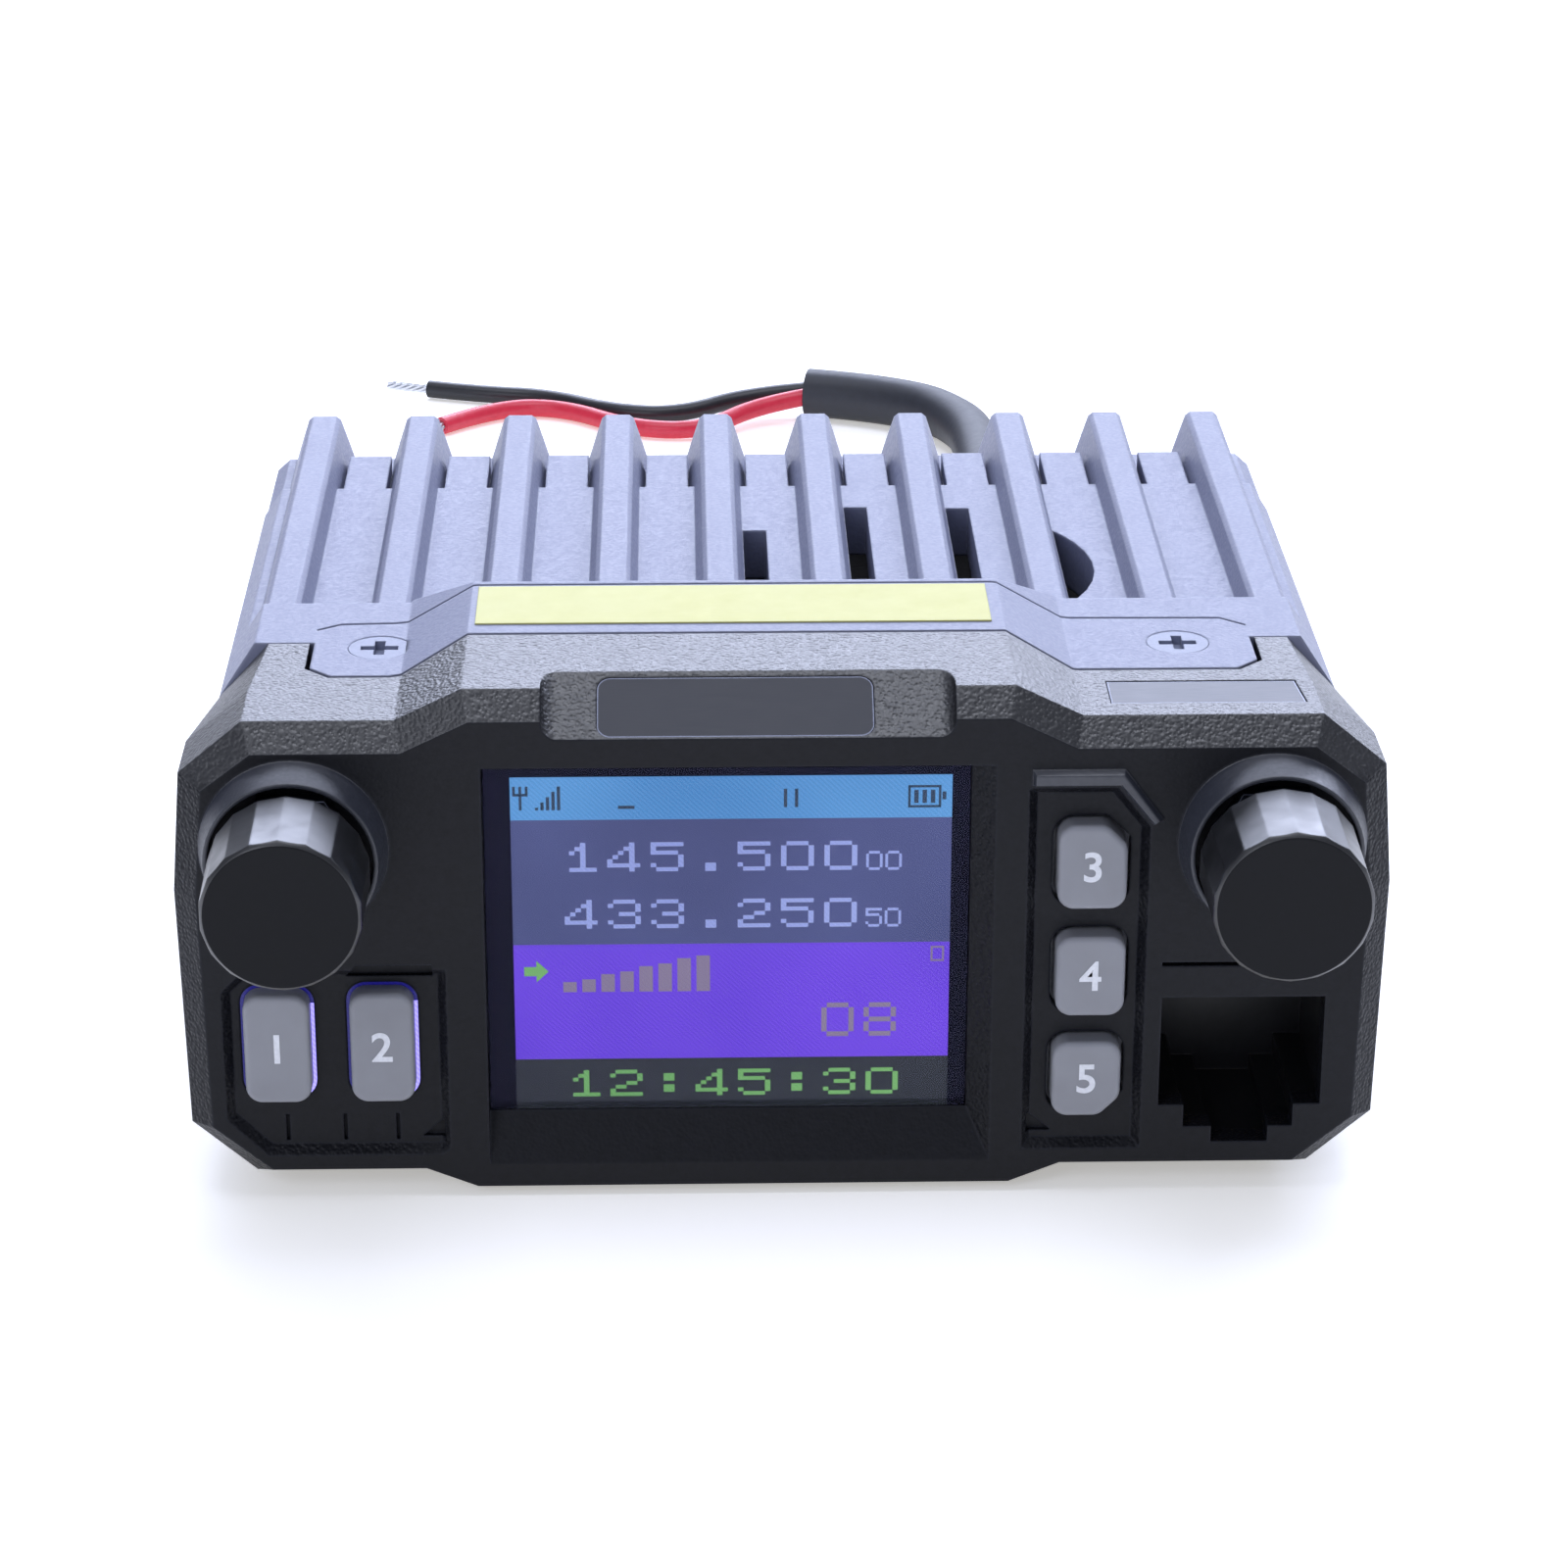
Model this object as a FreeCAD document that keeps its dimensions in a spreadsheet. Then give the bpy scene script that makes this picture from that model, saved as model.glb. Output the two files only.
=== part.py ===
import FreeCAD, Part
import math
import os
import re
import Sketcher

# Mobile transceiver: a die-cast heatsink case, a moulded front panel with a colour display,
# two knobs and five keys, and the boards, speaker, fan and sockets that the case holds.
# X runs to the right, Y from the front to the back, Z up. Y starts at the front face of the
# panel; every finished piece is then moved forward by depth_middle, so that the origin lies
# under the middle of the set.

SIZES = {
    # whole set
    "overall_width": 98, "body_back": 79.5, "deck_top": 41.55, "hump_top": 44.17,
    "hump_left": 25.5, "hump_right": 18.4, "hump_slope": 5.4,
    # fits and gaps
    "seam": 0.15, "gap": 0.3, "running": 0.05, "press": 0.02,
    # front panel
    "panel_deep": 19.0, "panel_wall": 2.2, "panel_side": 3.8, "panel_floor": 1.6,
    "bevel_side": 1.9, "bevel_top": 2.1, "bevel_low": 0.9, "bevel_deep": 1.9,
    "waist_y": 8.5, "waist_z": 27, "rear_inset": 2.0, "corner_run": 5.6, "shoulder_run": 6.0,
    "cheek_low": 6.2, "cheek_top": 37.2, "side_foot": 1.7,
    "lip_left": 25.3, "lip_right": 18.7, "lip_slope": 4.2,
    "shelf_front": 10.5, "shelf_thick": 1.75, "ear_wide": 9, "ear_back": 22.3, "ear_low": 34,
    "brow_left": 19.3, "brow_right": 13.6, "brow_back": 5.45, "brow_low": 40.55, "brow_round": 1.3,
    "recess_deep": 0.8, "recess_taper": 42,
    # heatsink case
    "case_width": 93, "case_wall": 2.5, "ceiling": 34.8, "channel_floor": 39.36, "rear_floor": 37.27,
    "rear_step": 64.65, "fin_front": 28.5, "fin_pitch": 9.3, "fin_count": 10, "fin_top": 2.8,
    "fin_foot": 4.25, "fin_root": 5.8, "land_wide": 3.9, "land_back": 73.9, "side_edge": 36.8,
    "tab_thick": 2.15, "tab_gap": 0.4, "tab_front": 11.6,
    "strip_front": 14.25, "strip_back": 26.2, "tab_reach": 38.4, "tab_round": 1.8,
    "tab_screw_x": 33.0, "tab_screw_y": 18.0, "line_wide": 0.35,
    # bottom cover
    "cover_thick": 1.5, "cover_screw_x": 41.9, "cover_screw_front": 27, "cover_screw_back": 71.5,
    # speaker
    "speaker_x": 11.8, "speaker_y": 42.5, "speaker_radius": 18, "speaker_tall": 5.2,
    "slot_radius": 16.5, "slot_wide": 2.1,
    # knobs
    "knob_x": 39.1, "knob_z": 31.35, "knob_out": 13.2, "knob_long": 8.7, "knob_radius": 6.45,
    "knob_turned": 0.45, "knob_step": 1.05, "collar_radius": 7.6, "collar_wall": 0.7, "collar_tall": 3.2,
    "shaft_radius": 3.0, "bush_radius": 3.5, "pot_side": 9.5,
    # display
    "glass_left": 24.0, "glass_right": 14.9, "glass_low": 7.2, "glass_top": 37.4, "glass_y": 1.6,
    "glass_thick": 1.0, "window_right": 16.9, "window_low": 2.9, "window_top": 38.1,
    "lcd_thick": 3.3, "lcd_margin": 0.9,
    # keys
    "key_proud": 0.9, "key_round": 1.35, "key_gap": 0.35, "key_flange": 0.75, "key_travel": 0.5,
    "stem_radius": 1.0,
    # boards
    "front_board_y": 6.4, "board_thick": 1.6, "main_board_z": 8.0, "main_board_half": 39.2,
    "main_board_front": 22, "main_board_back": 68.5, "post_x": 35.5, "post_front": 26, "post_back": 60,
    "boss_radius": 2.1, "post_radius": 3.0,
    # microphone socket
    "jack_left": 30.7, "jack_right": 44.0, "jack_top": 17.55, "jack_low": 7.8, "jack_deep": 12.5,
    "jack_wall": 0.8, "latch_low": 4.4, "latch_mid": 5.8,
    # rear wall
    "fan_x": -6.5, "fan_z": 19, "fan_side": 30, "fan_deep": 7.5, "fan_bore": 14, "fan_screw": 12,
    "antenna_x": -33, "antenna_z": 20, "antenna_out": 18, "antenna_radius": 7.94,
    "cable_x": 18, "cable_z": 12, "cable_radius": 3.0, "wire_radius": 1.1, "boot_long": 16.5,
    "phone_x": 35, "phone_z": 22, "phone_bore": 1.8, "phone_out": 2.0,
    "bracket_front": 36, "bracket_back": 62, "bracket_z": 19, "bracket_hole": 1.65, "bracket_boss": 4.0,
}

doc = FreeCAD.newDocument("mobile_transceiver")
sizes = doc.addObject("Spreadsheet::Sheet", "sizes")
for row, (name, number) in enumerate(SIZES.items(), 1):
    sizes.set(f"A{row}", name)
    sizes.set(f"B{row}", str(number))
    sizes.setAlias(f"B{row}", name)
doc.recompute()

UP, BACK, RIGHT = FreeCAD.Vector(0, 0, 1), FreeCAD.Vector(0, 1, 0), FreeCAD.Vector(1, 0, 0)
TURN = {
    "up": FreeCAD.Rotation(),
    "down": FreeCAD.Rotation(RIGHT, 180),
    "back": FreeCAD.Rotation(RIGHT, -90),
    "front": FreeCAD.Rotation(RIGHT, 90),
    "right": FreeCAD.Rotation(BACK, 90),
}
DEPTH_MIDDLE = "(body_back + antenna_out - knob_out)/2"
sub_parts = []


def formula(text):
    """Turn plain size names into references to the sheet."""
    return re.sub(r"\b(?!(?:sqrt|sin|cos|tan)\b)([a-z][a-z_0-9]*)", r"sizes.\1", str(text))


def size(name):
    return float(getattr(sizes, name))


def bind(thing, prop, text):
    thing.setExpression(prop, formula(text))


def place(thing, x, y, z, turn="up"):
    thing.Placement = FreeCAD.Placement(FreeCAD.Vector(), TURN[turn])
    for axis, text in zip("xyz", (x, y, z)):
        bind(thing, f"Placement.Base.{axis}", text)
    return thing


def sub_part(thing, label):
    """Name a finished piece and move it so that the origin is under the middle of the set."""
    thing.Label = label
    old = dict(thing.ExpressionEngine).get(".Placement.Base.y")
    move = formula(f"-{DEPTH_MIDDLE}")
    thing.setExpression("Placement.Base.y", f"{old} {move}" if old else move)
    sub_parts.append(thing)
    return thing


# ---------------------------------------------------------------- primitives and booleans
def box(x0, x1, y0, y1, z0, z1):
    block = doc.addObject("Part::Box", "block")
    for prop, low, high in (("Length", x0, x1), ("Width", y0, y1), ("Height", z0, z1)):
        bind(block, prop, f"({high}) - ({low})")
    return place(block, x0, y0, z0)


def rod(x, y, z, radius, length, turn="back"):
    cylinder = doc.addObject("Part::Cylinder", "rod")
    bind(cylinder, "Radius", radius)
    bind(cylinder, "Height", length)
    return place(cylinder, x, y, z, turn)


def cone(x, y, z, radius, end_radius, length, turn="back"):
    taper = doc.addObject("Part::Cone", "cone")
    bind(taper, "Radius1", radius)
    bind(taper, "Radius2", end_radius)
    bind(taper, "Height", length)
    return place(taper, x, y, z, turn)


def ring(x, y, z, radius, wire, turn="back"):
    torus = doc.addObject("Part::Torus", "ring")
    bind(torus, "Radius1", radius)
    bind(torus, "Radius2", wire)
    return place(torus, x, y, z, turn)


def hexagon(x, y, z, across, length, turn="back"):
    prism = doc.addObject("Part::Prism", "hexagon")
    prism.Polygon = 6
    bind(prism, "Circumradius", f"({across})/sqrt(3)")
    bind(prism, "Height", length)
    return place(prism, x, y, z, turn)


def fuse(*things):
    joined = doc.addObject("Part::MultiFuse", "joined")
    joined.Shapes = list(things)
    return joined


def cut(base, *tools):
    left = doc.addObject("Part::Cut", "cut")
    left.Base = base
    left.Tool = tools[0] if len(tools) == 1 else fuse(*tools)
    return left


def group(*things):
    together = doc.addObject("Part::Compound", "group")
    together.Links = list(things)
    return together


def screw(x, y, z, head, thread, length, turn, style="pan"):
    """Cross-recess screw whose head's bearing face is at (x, y, z) and whose thread runs along turn."""
    away = {"down": (0, 0, 1), "up": (0, 0, -1), "front": (0, 1, 0), "back": (0, -1, 0)}[turn]
    opposite = {"down": "up", "up": "down", "front": "back", "back": "front"}[turn]
    shank = rod(x, y, z, thread, length, turn)
    if style == "flush":
        top = cone(x, y, z, head, thread, f"({head}) - ({thread})", turn)
        rise = "0"
    else:
        rise = f"({head})*0.55"
        top = cone(x, y, z, head, f"({head})*0.8", rise, opposite)
    spot = [f"({c}) + ({a})*({rise})" for c, a in zip((x, y, z), away)]
    slots = []
    for wide, tall in ((0.95, 0.26), (0.26, 0.95)):
        half, thin, deep = f"({head})*{wide / 1.6:.3f}", f"({head})*{tall / 1.6:.3f}", f"({head})*0.3"
        if away[2]:
            low = f"({spot[2]}) - ({deep})"
            high = f"({spot[2]}) + ({deep})"
            slots.append(box(f"({x})-({half})", f"({x})+({half})", f"({y})-({thin})", f"({y})+({thin})",
                             low, high))
        else:
            low = f"({spot[1]}) - ({deep})"
            high = f"({spot[1]}) + ({deep})"
            slots.append(box(f"({x})-({half})", f"({x})+({half})", low, high,
                             f"({z})-({thin})", f"({z})+({thin})"))
    return cut(fuse(shank, top), *slots)


# ---------------------------------------------------------------- bodies and sketches
def new_body(name):
    return doc.addObject("PartDesign::Body", name)


def sketch(body, name, plane, offset="0"):
    """Sketch on one of the body's own planes; a front sketch looks along +Y, so its offset is -Y."""
    drawing = body.newObject("Sketcher::SketchObject", name)
    role = {"front": "XZ_Plane", "top": "XY_Plane", "side": "YZ_Plane"}[plane]
    support = next(item for item in body.Origin.OriginFeatures if item.Role == role)
    drawing.AttachmentSupport = [(support, "")]
    drawing.MapMode = "FlatFace"
    bind(drawing, "AttachmentOffset.Base.z", f"-({offset})" if plane == "front" else offset)
    return drawing


def polygon(drawing, points):
    """Closed outline whose corners are each held by two driven dimensions."""
    count, start, rest = len(points), drawing.GeometryCount, 10
    angles = [2 * math.pi * k / count for k in range(count)]
    corners = [FreeCAD.Vector(rest * math.cos(a), rest * math.sin(a), 0) for a in angles]
    drawing.addGeometry([Part.LineSegment(corners[k], corners[(k + 1) % count]) for k in range(count)], False)
    limits = [Sketcher.Constraint("Coincident", start + k, 2, start + (k + 1) % count, 1)
              for k in range(count)]
    for k, corner in enumerate(corners):
        limits.append(Sketcher.Constraint("DistanceX", -1, 1, start + k, 1, corner.x))
        limits.append(Sketcher.Constraint("DistanceY", -1, 1, start + k, 1, corner.y))
    first = drawing.ConstraintCount + count
    drawing.addConstraint(limits)
    for k, (across, along) in enumerate(points):
        bind(drawing, f"Constraints[{first + 2 * k}]", across)
        bind(drawing, f"Constraints[{first + 2 * k + 1}]", along)
    return drawing


def rectangle(drawing, x0, x1, y0, y1):
    return polygon(drawing, [(x0, y0), (x1, y0), (x1, y1), (x0, y1)])


def circle(drawing, x, y, radius):
    index, first = drawing.GeometryCount, drawing.ConstraintCount
    drawing.addGeometry(Part.Circle(FreeCAD.Vector(1, 1, 0), UP, 1), False)
    drawing.addConstraint([
        Sketcher.Constraint("DistanceX", -1, 1, index, 3, 1),
        Sketcher.Constraint("DistanceY", -1, 1, index, 3, 1),
        Sketcher.Constraint("Radius", index, 1),
    ])
    for step, text in enumerate((x, y, radius)):
        bind(drawing, f"Constraints[{first + step}]", text)
    return drawing


def feature(body, kind, drawing, length, reverse=False, taper="0"):
    step = body.newObject(f"PartDesign::{kind}", f"{drawing.Name}_{kind}")
    step.Profile = drawing
    bind(step, "Length", length)
    step.Reversed = reverse
    bind(step, "TaperAngle", taper)
    body.Tip = step
    return step


def pad(body, drawing, length, reverse=False, taper="0"):
    return feature(body, "Pad", drawing, length, reverse, taper)


def pocket(body, drawing, length, reverse=False, taper="0"):
    """Cut that is checked to have taken something away."""
    doc.recompute()
    before = body.Shape.Volume
    step = feature(body, "Pocket", drawing, length, reverse, taper)
    doc.recompute()
    if not body.Shape.Volume < before - 1e-4:
        raise RuntimeError(f"{drawing.Name} cuts nothing from {body.Name}")
    return step


def loft(body, drawings, kind="AdditiveLoft"):
    step = body.newObject(f"PartDesign::{kind}", f"{drawings[0].Name}_{kind}")
    step.Profile = drawings[0]
    step.Sections = drawings[1:]
    step.Ruled = True
    body.Tip = step
    return step


def edges_of(step, test):
    """Names of the straight or round edges whose middle point and ends satisfy a test."""
    doc.recompute()
    names = []
    for index, edge in enumerate(step.Shape.Edges, 1):
        ends = [vertex.Point for vertex in edge.Vertexes]
        if test(edge, ends):
            names.append(f"Edge{index}")
    return names


def dress(body, kind, step, names, amount):
    """Fillet or chamfer on the named edges."""
    if not names:
        raise RuntimeError(f"no edges to {kind} on {body.Name}")
    work = body.newObject(f"PartDesign::{kind}", f"{body.Name}_{kind}")
    work.Base = (step, names)
    bind(work, "Radius" if kind == "Fillet" else "Size", amount)
    body.Tip = work
    return work


def along(edge, ends, axis):
    """True where a straight edge runs along an axis."""
    if len(ends) < 2:
        return False
    run = ends[1] - ends[0]
    return run.Length > 1e-6 and abs(run.normalize().dot(axis)) > 0.999


# ---------------------------------------------------------------- front panel
def panel_outline(drawing, side, top, low, half="overall_width/2"):
    """Front silhouette of the panel, drawn in by side, top and low."""
    w = f"({half} - ({side}))"
    turn = 0.41
    t, b = f"({top})", f"({low})"
    polygon(drawing, [
        (f"-{w} + corner_run - {turn}*{b}", f"side_foot + {b}"),
        (f"-lip_left - lip_slope + 0.2*{b}", f"side_foot + {b}"),
        (f"-lip_left + 0.2*{b}", b),
        (f"lip_right - 0.2*{b}", b),
        (f"lip_right + lip_slope - 0.2*{b}", f"side_foot + {b}"),
        (f"{w} - corner_run + {turn}*{b}", f"side_foot + {b}"),
        (f"{w} - 0.45", f"cheek_low + {turn}*{b}"),
        (w, "waist_z"),
        (f"{w} - 0.8", f"cheek_top - {turn}*{t}"),
        (f"{w} - shoulder_run + 0.6*({side})", f"deck_top - {t}"),
        (f"hump_right + hump_slope - 0.23*{t}", f"deck_top - {t}"),
        (f"hump_right - 0.23*{t}", f"hump_top - {t}"),
        (f"-hump_left + 0.23*{t}", f"hump_top - {t}"),
        (f"-hump_left - hump_slope + 0.23*{t}", f"deck_top - {t}"),
        (f"-{w} + shoulder_run - 0.6*({side})", f"deck_top - {t}"),
        (f"-{w} + 0.8", f"cheek_top - {turn}*{t}"),
        (f"-{w}", "waist_z"),
        (f"-{w} + 0.45", f"cheek_low + {turn}*{b}"),
    ])
    return drawing


def tongue_outline(grow, back):
    """Plan of the heatsink's tabs and strip; grow widens it for the notch in the panel."""
    g = f"({grow})"
    return [
        (f"-tab_reach - {g}", back),
        (f"-tab_reach - {g}", f"tab_front + tab_round - 0.4*{g}"),
        (f"-tab_reach + tab_round - 0.4*{g}", f"tab_front - {g}"),
        (f"-hump_left - hump_slope - 0.9 + 0.2*{g}", f"tab_front - {g}"),
        (f"-hump_left + 0.2*{g}", f"strip_front - {g}"),
        (f"hump_right - 0.2*{g}", f"strip_front - {g}"),
        (f"hump_right + hump_slope + 0.4 - 0.2*{g}", f"tab_front + 0.5 - {g}"),
        (f"tab_reach + 0.7 - tab_round + 0.4*{g}", f"tab_front + 0.5 - {g}"),
        (f"tab_reach + 0.7 + {g}", f"tab_front + 0.5 + tab_round - 0.4*{g}"),
        (f"tab_reach + 0.7 + {g}", back),
    ]


def jack_outline(grow):
    """Opening of the 8-way modular socket with its keyed lower steps, grown by a wall or a clearance."""
    g = f"({grow})"
    low, mid, key = f"jack_low - {g}", f"latch_mid - {g}", f"latch_low - {g}"
    left, right = f"jack_left - {g}", f"jack_right + {g}"
    mid_left, mid_right = f"jack_left + 2.1 - {g}", f"jack_right - 2.2 + {g}"
    key_left, key_right = f"jack_left + 4.45 - {g}", f"jack_right - 4.2 + {g}"
    return [
        (left, low), (mid_left, low), (mid_left, mid), (key_left, mid), (key_left, key), (key_right, key),
        (key_right, mid), (mid_right, mid), (mid_right, low), (right, low),
        (right, f"jack_top + {g}"), (left, f"jack_top + {g}"),
    ]


# Each key: left, right, low and high edge of its cap, and the corner that is cut off.
KEYS = {
    "key_1": (-43.75, -38.4, 9.1, 18.7, None),
    "key_2": (-35.15, -30.0, 9.1, 18.85, None),
    "key_3": (21.9, 27.45, 25.8, 33.05, "high"),
    "key_4": (21.95, 27.55, 16.3, 23.3, None),
    "key_5": (21.85, 27.45, 7.25, 13.9, "low"),
}
KEY_CORNER = 1.7
BOARD_BOSSES = [(-27.6, 36.0), (18.2, 36.0), (-27.6, 5.8), (18.2, 5.8)]


def key_outline(x0, x1, z0, z1, corner, grow):
    """Outline of a key cap, with its cut corner, grown by a clearance or drawn in."""
    g = f"({grow})"
    points = [(f"{x0} - {g}", f"{z0} - {g}")]
    if corner == "low":
        points += [
            (f"{x1} - {KEY_CORNER} + 0.41*{g}", f"{z0} - {g}"),
            (f"{x1} + {g}", f"{z0} + {KEY_CORNER} - 0.41*{g}"),
        ]
    else:
        points.append((f"{x1} + {g}", f"{z0} - {g}"))
    if corner == "high":
        points += [
            (f"{x1} + {g}", f"{z1} - {KEY_CORNER} + 0.41*{g}"),
            (f"{x1} - {KEY_CORNER} + 0.41*{g}", f"{z1} + {g}"),
        ]
    else:
        points.append((f"{x1} + {g}", f"{z1} + {g}"))
    points.append((f"{x0} - {g}", f"{z1} + {g}"))
    return points


def build_panel():
    body = new_body("panel_moulding")
    sections = [
        panel_outline(sketch(body, "face", "front", "0"), "bevel_side", "bevel_top", "bevel_low"),
        panel_outline(sketch(body, "bevel_back", "front", "bevel_deep"), "0", "0", "0"),
        panel_outline(sketch(body, "waist", "front", "waist_y"), "0", "0", "0"),
        panel_outline(sketch(body, "panel_back", "front", "panel_deep"), "rear_inset", "0", "0"),
    ]
    loft(body, sections)

    # hollow behind the face: full height in front, lower under the shelf that carries the tabs
    inner = "overall_width/2 - panel_side"
    for name, start, end, top in (
        ("front_hollow", "panel_wall", "shelf_front", "deck_top - panel_wall"),
        ("rear_hollow", "shelf_front - 0.01", "panel_deep + 1", "deck_top - panel_wall - shelf_thick"),
    ):
        hollow = polygon(sketch(body, name, "front", start), [
            (f"-({inner}) + 4.2", "side_foot + panel_floor"), (f"{inner} - 4.2", "side_foot + panel_floor"),
            (inner, "side_foot + panel_floor + 3.9"), (inner, "cheek_top - 2.0"),
            (f"{inner} - 4.7", top), (f"-({inner}) + 4.7", top),
            (f"-({inner})", "cheek_top - 2.0"), (f"-({inner})", "side_foot + panel_floor + 3.9"),
        ])
        pocket(body, hollow, f"({end}) - ({start})")

    # notch for the heatsink's tongue
    notch = polygon(sketch(body, "tongue_notch", "top", "hump_top + 1"),
                    tongue_outline("tab_gap", "panel_deep + 1"))
    pocket(body, notch, "hump_top + 1 - (deck_top - tab_thick - 0.1)")

    # ears under the tabs, which take the two top screws
    for side in (-1, 1):
        ear = sketch(body, f"ear_{'left' if side < 0 else 'right'}", "front", "strip_front")
        rectangle(ear, f"{side}*tab_screw_x - ear_wide/2", f"{side}*tab_screw_x + ear_wide/2",
                  "ear_low", "deck_top - tab_thick - 0.1")
        pad(body, ear, "ear_back - strip_front", reverse=True)
    holes = sketch(body, "ear_holes", "top", "deck_top")
    for side in (-1, 1):
        circle(holes, f"{side}*tab_screw_x", "tab_screw_y", "1.22")
    pocket(body, holes, "deck_top - ear_low - 0.8")

    # collars round the two knobs
    collars = sketch(body, "collars", "front", "0")
    for side in (-1, 1):
        circle(collars, f"{side}*knob_x", "knob_z", "collar_radius")
    pad(body, collars, "collar_tall", taper="-12")
    wells = sketch(body, "collar_wells", "front", "-collar_tall - 0.1")
    for side in (-1, 1):
        circle(wells, f"{side}*knob_x", "knob_z", "collar_radius - collar_wall - 0.3")
    pocket(body, wells, "collar_tall + 0.1")
    bores = sketch(body, "bush_holes", "front", "-0.1")
    for side in (-1, 1):
        circle(bores, f"{side}*knob_x", "knob_z", "bush_radius + 0.1")
    pocket(body, bores, "panel_wall + 0.2")

    # sunk fields round the keys, with sloping edges
    left_field = polygon(sketch(body, "left_field", "front", "0"), [
        ("-45.5", "7.2"), ("-42.2", "3.9"), ("-27.9", "3.9"), ("-27.3", "4.5"), ("-27.3", "20.6"),
        ("-43.6", "20.6"), ("-45.5", "18.7"),
    ])
    pocket(body, left_field, "recess_deep", taper="-recess_taper")
    right_field = polygon(sketch(body, "right_field", "front", "0"), [
        ("19.5", "3.9"), ("29.3", "3.9"), ("29.3", "32.7"), ("26.6", "36.1"), ("19.5", "36.1"),
    ])
    pocket(body, right_field, "recess_deep", taper="-recess_taper")
    ridge = polygon(sketch(body, "key_ridge", "front", "0"), [
        ("19.7", "36.3"), ("26.7", "36.3"), ("29.5", "32.8"),
        ("30.3", "33.4"), ("27.1", "37.7"), ("19.7", "37.7"),
    ])
    pad(body, ridge, "0.75", taper="-20")

    # small relief in the fields: locating corners, ticks and the split lines under the knobs
    relief = sketch(body, "small_relief", "front", "0")
    polygon(relief, [("-29.6", "5.2"), ("-27.7", "5.2"), ("-27.7", "6.9")])
    polygon(relief, [("19.9", "5.2"), ("22.0", "5.2"), ("19.9", "7.0")])
    for x in (-40.6, -35.9, -31.6):
        rectangle(relief, f"{x} - 0.15", f"{x} + 0.15", "4.9", "7.3")
    polygon(relief, [("-35.4", "19.75"), ("-28.4", "19.75"), ("-28.4", "21.0"), ("-34.6", "21.0")])
    rectangle(relief, "30.6", "38.4", "20.35", "20.7")
    rectangle(relief, "40.6", "45.2", "20.35", "20.7")
    pocket(body, relief, "recess_deep + 0.5")

    # key openings, socket opening and display window
    keyholes = sketch(body, "keyholes", "front", "-0.1")
    for x0, x1, z0, z1, corner in KEYS.values():
        polygon(keyholes, key_outline(x0, x1, z0, z1, corner, "key_gap"))
    openings = pocket(body, keyholes, "panel_wall + 0.2")
    spots = [(x, z) for x0, x1, z0, z1, corner in KEYS.values() for x in (x0, x1) for z in (z0, z1)]
    reach = size("key_gap") + 0.3

    def key_corner(edge, ends):
        middle = edge.CenterOfMass
        near = any(abs(middle.x - x) < reach and abs(middle.z - z) < reach for x, z in spots)
        return near and along(edge, ends, BACK)

    dress(body, "Fillet", openings, edges_of(openings, key_corner), "key_round + key_gap")
    socket = polygon(sketch(body, "socket_opening", "front", "-0.1"), jack_outline("0"))
    pocket(body, socket, "panel_wall + 0.2")
    mouth = rectangle(sketch(body, "window_mouth", "front", "-0.01"), "-glass_left - 0.1", "window_right",
                      "window_low", "window_top")
    throat = rectangle(sketch(body, "window_throat", "front", "glass_y"), "-glass_left - 0.1",
                       "glass_right + 0.1", "glass_low - 0.1", "glass_top + 0.1")
    loft(body, [mouth, throat], "SubtractiveLoft")
    window = rectangle(sketch(body, "window_through", "front", "glass_y - 0.01"), "-glass_left - 0.1",
                       "glass_right + 0.1", "glass_low - 0.1", "glass_top + 0.1")
    pocket(body, window, "panel_wall - glass_y + 0.1")

    # brow over the display: a wide sloping cut with rounded ends
    slope = "(hump_top - brow_low)/brow_back"
    brow = polygon(sketch(body, "brow", "side", "brow_right"), [
        ("-1.2", f"brow_low - 1.2*{slope}"), ("brow_back", "hump_top"),
        ("brow_back", "hump_top + 1"), ("-1.2", "hump_top + 1"),
    ])
    brow_cut = pocket(body, brow, "brow_left + brow_right")
    lean = FreeCAD.Vector(0, size("brow_back"), size("hump_top") - size("brow_low")).normalize()

    def brow_end(edge, ends):
        return along(edge, ends, lean)

    dress(body, "Fillet", brow_cut, edges_of(brow_cut, brow_end), "brow_round")

    # bosses for the front board
    bosses = sketch(body, "board_bosses", "front", "panel_wall - 0.5")
    for x, z in BOARD_BOSSES:
        circle(bosses, f"{x}", f"{z}", "boss_radius")
    pad(body, bosses, "front_board_y - panel_wall + 0.5 - 0.02", reverse=True)
    pilots = sketch(body, "boss_pilots", "front", "front_board_y")
    for x, z in BOARD_BOSSES:
        circle(pilots, f"{x}", f"{z}", "0.85")
    pocket(body, pilots, "4", reverse=True)

    # shallow seat for the name strip on the right of the deck
    seat = polygon(sketch(body, "strip_seat", "top", "deck_top + 1"), [
        ("26.2", "4.45"), ("42.0", "4.45"), ("41.6", "9.25"), ("26.2", "9.25"),
    ])
    pocket(body, seat, "1.35")

    doc.recompute()
    brow_angle = math.degrees(math.atan2(size("hump_top") - size("brow_low"), size("brow_back")))
    seat_tool = brow_block("brow_seat", brow_angle, "0.05", "0.45")
    sub_part(cut(body, seat_tool), "front_panel")

    plate = brow_block("brow_plate", brow_angle, "0", "0.4")
    sub_part(plate, "brow_plate")

    strip = new_body("name_strip")
    shape = polygon(sketch(strip, "strip_plan", "top", "deck_top - 0.33"), [
        ("26.3", "4.55"), ("41.88", "4.55"), ("41.5", "9.15"), ("26.3", "9.15"),
    ])
    pad(strip, shape, "0.28")
    sub_part(strip, "name_strip")

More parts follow.
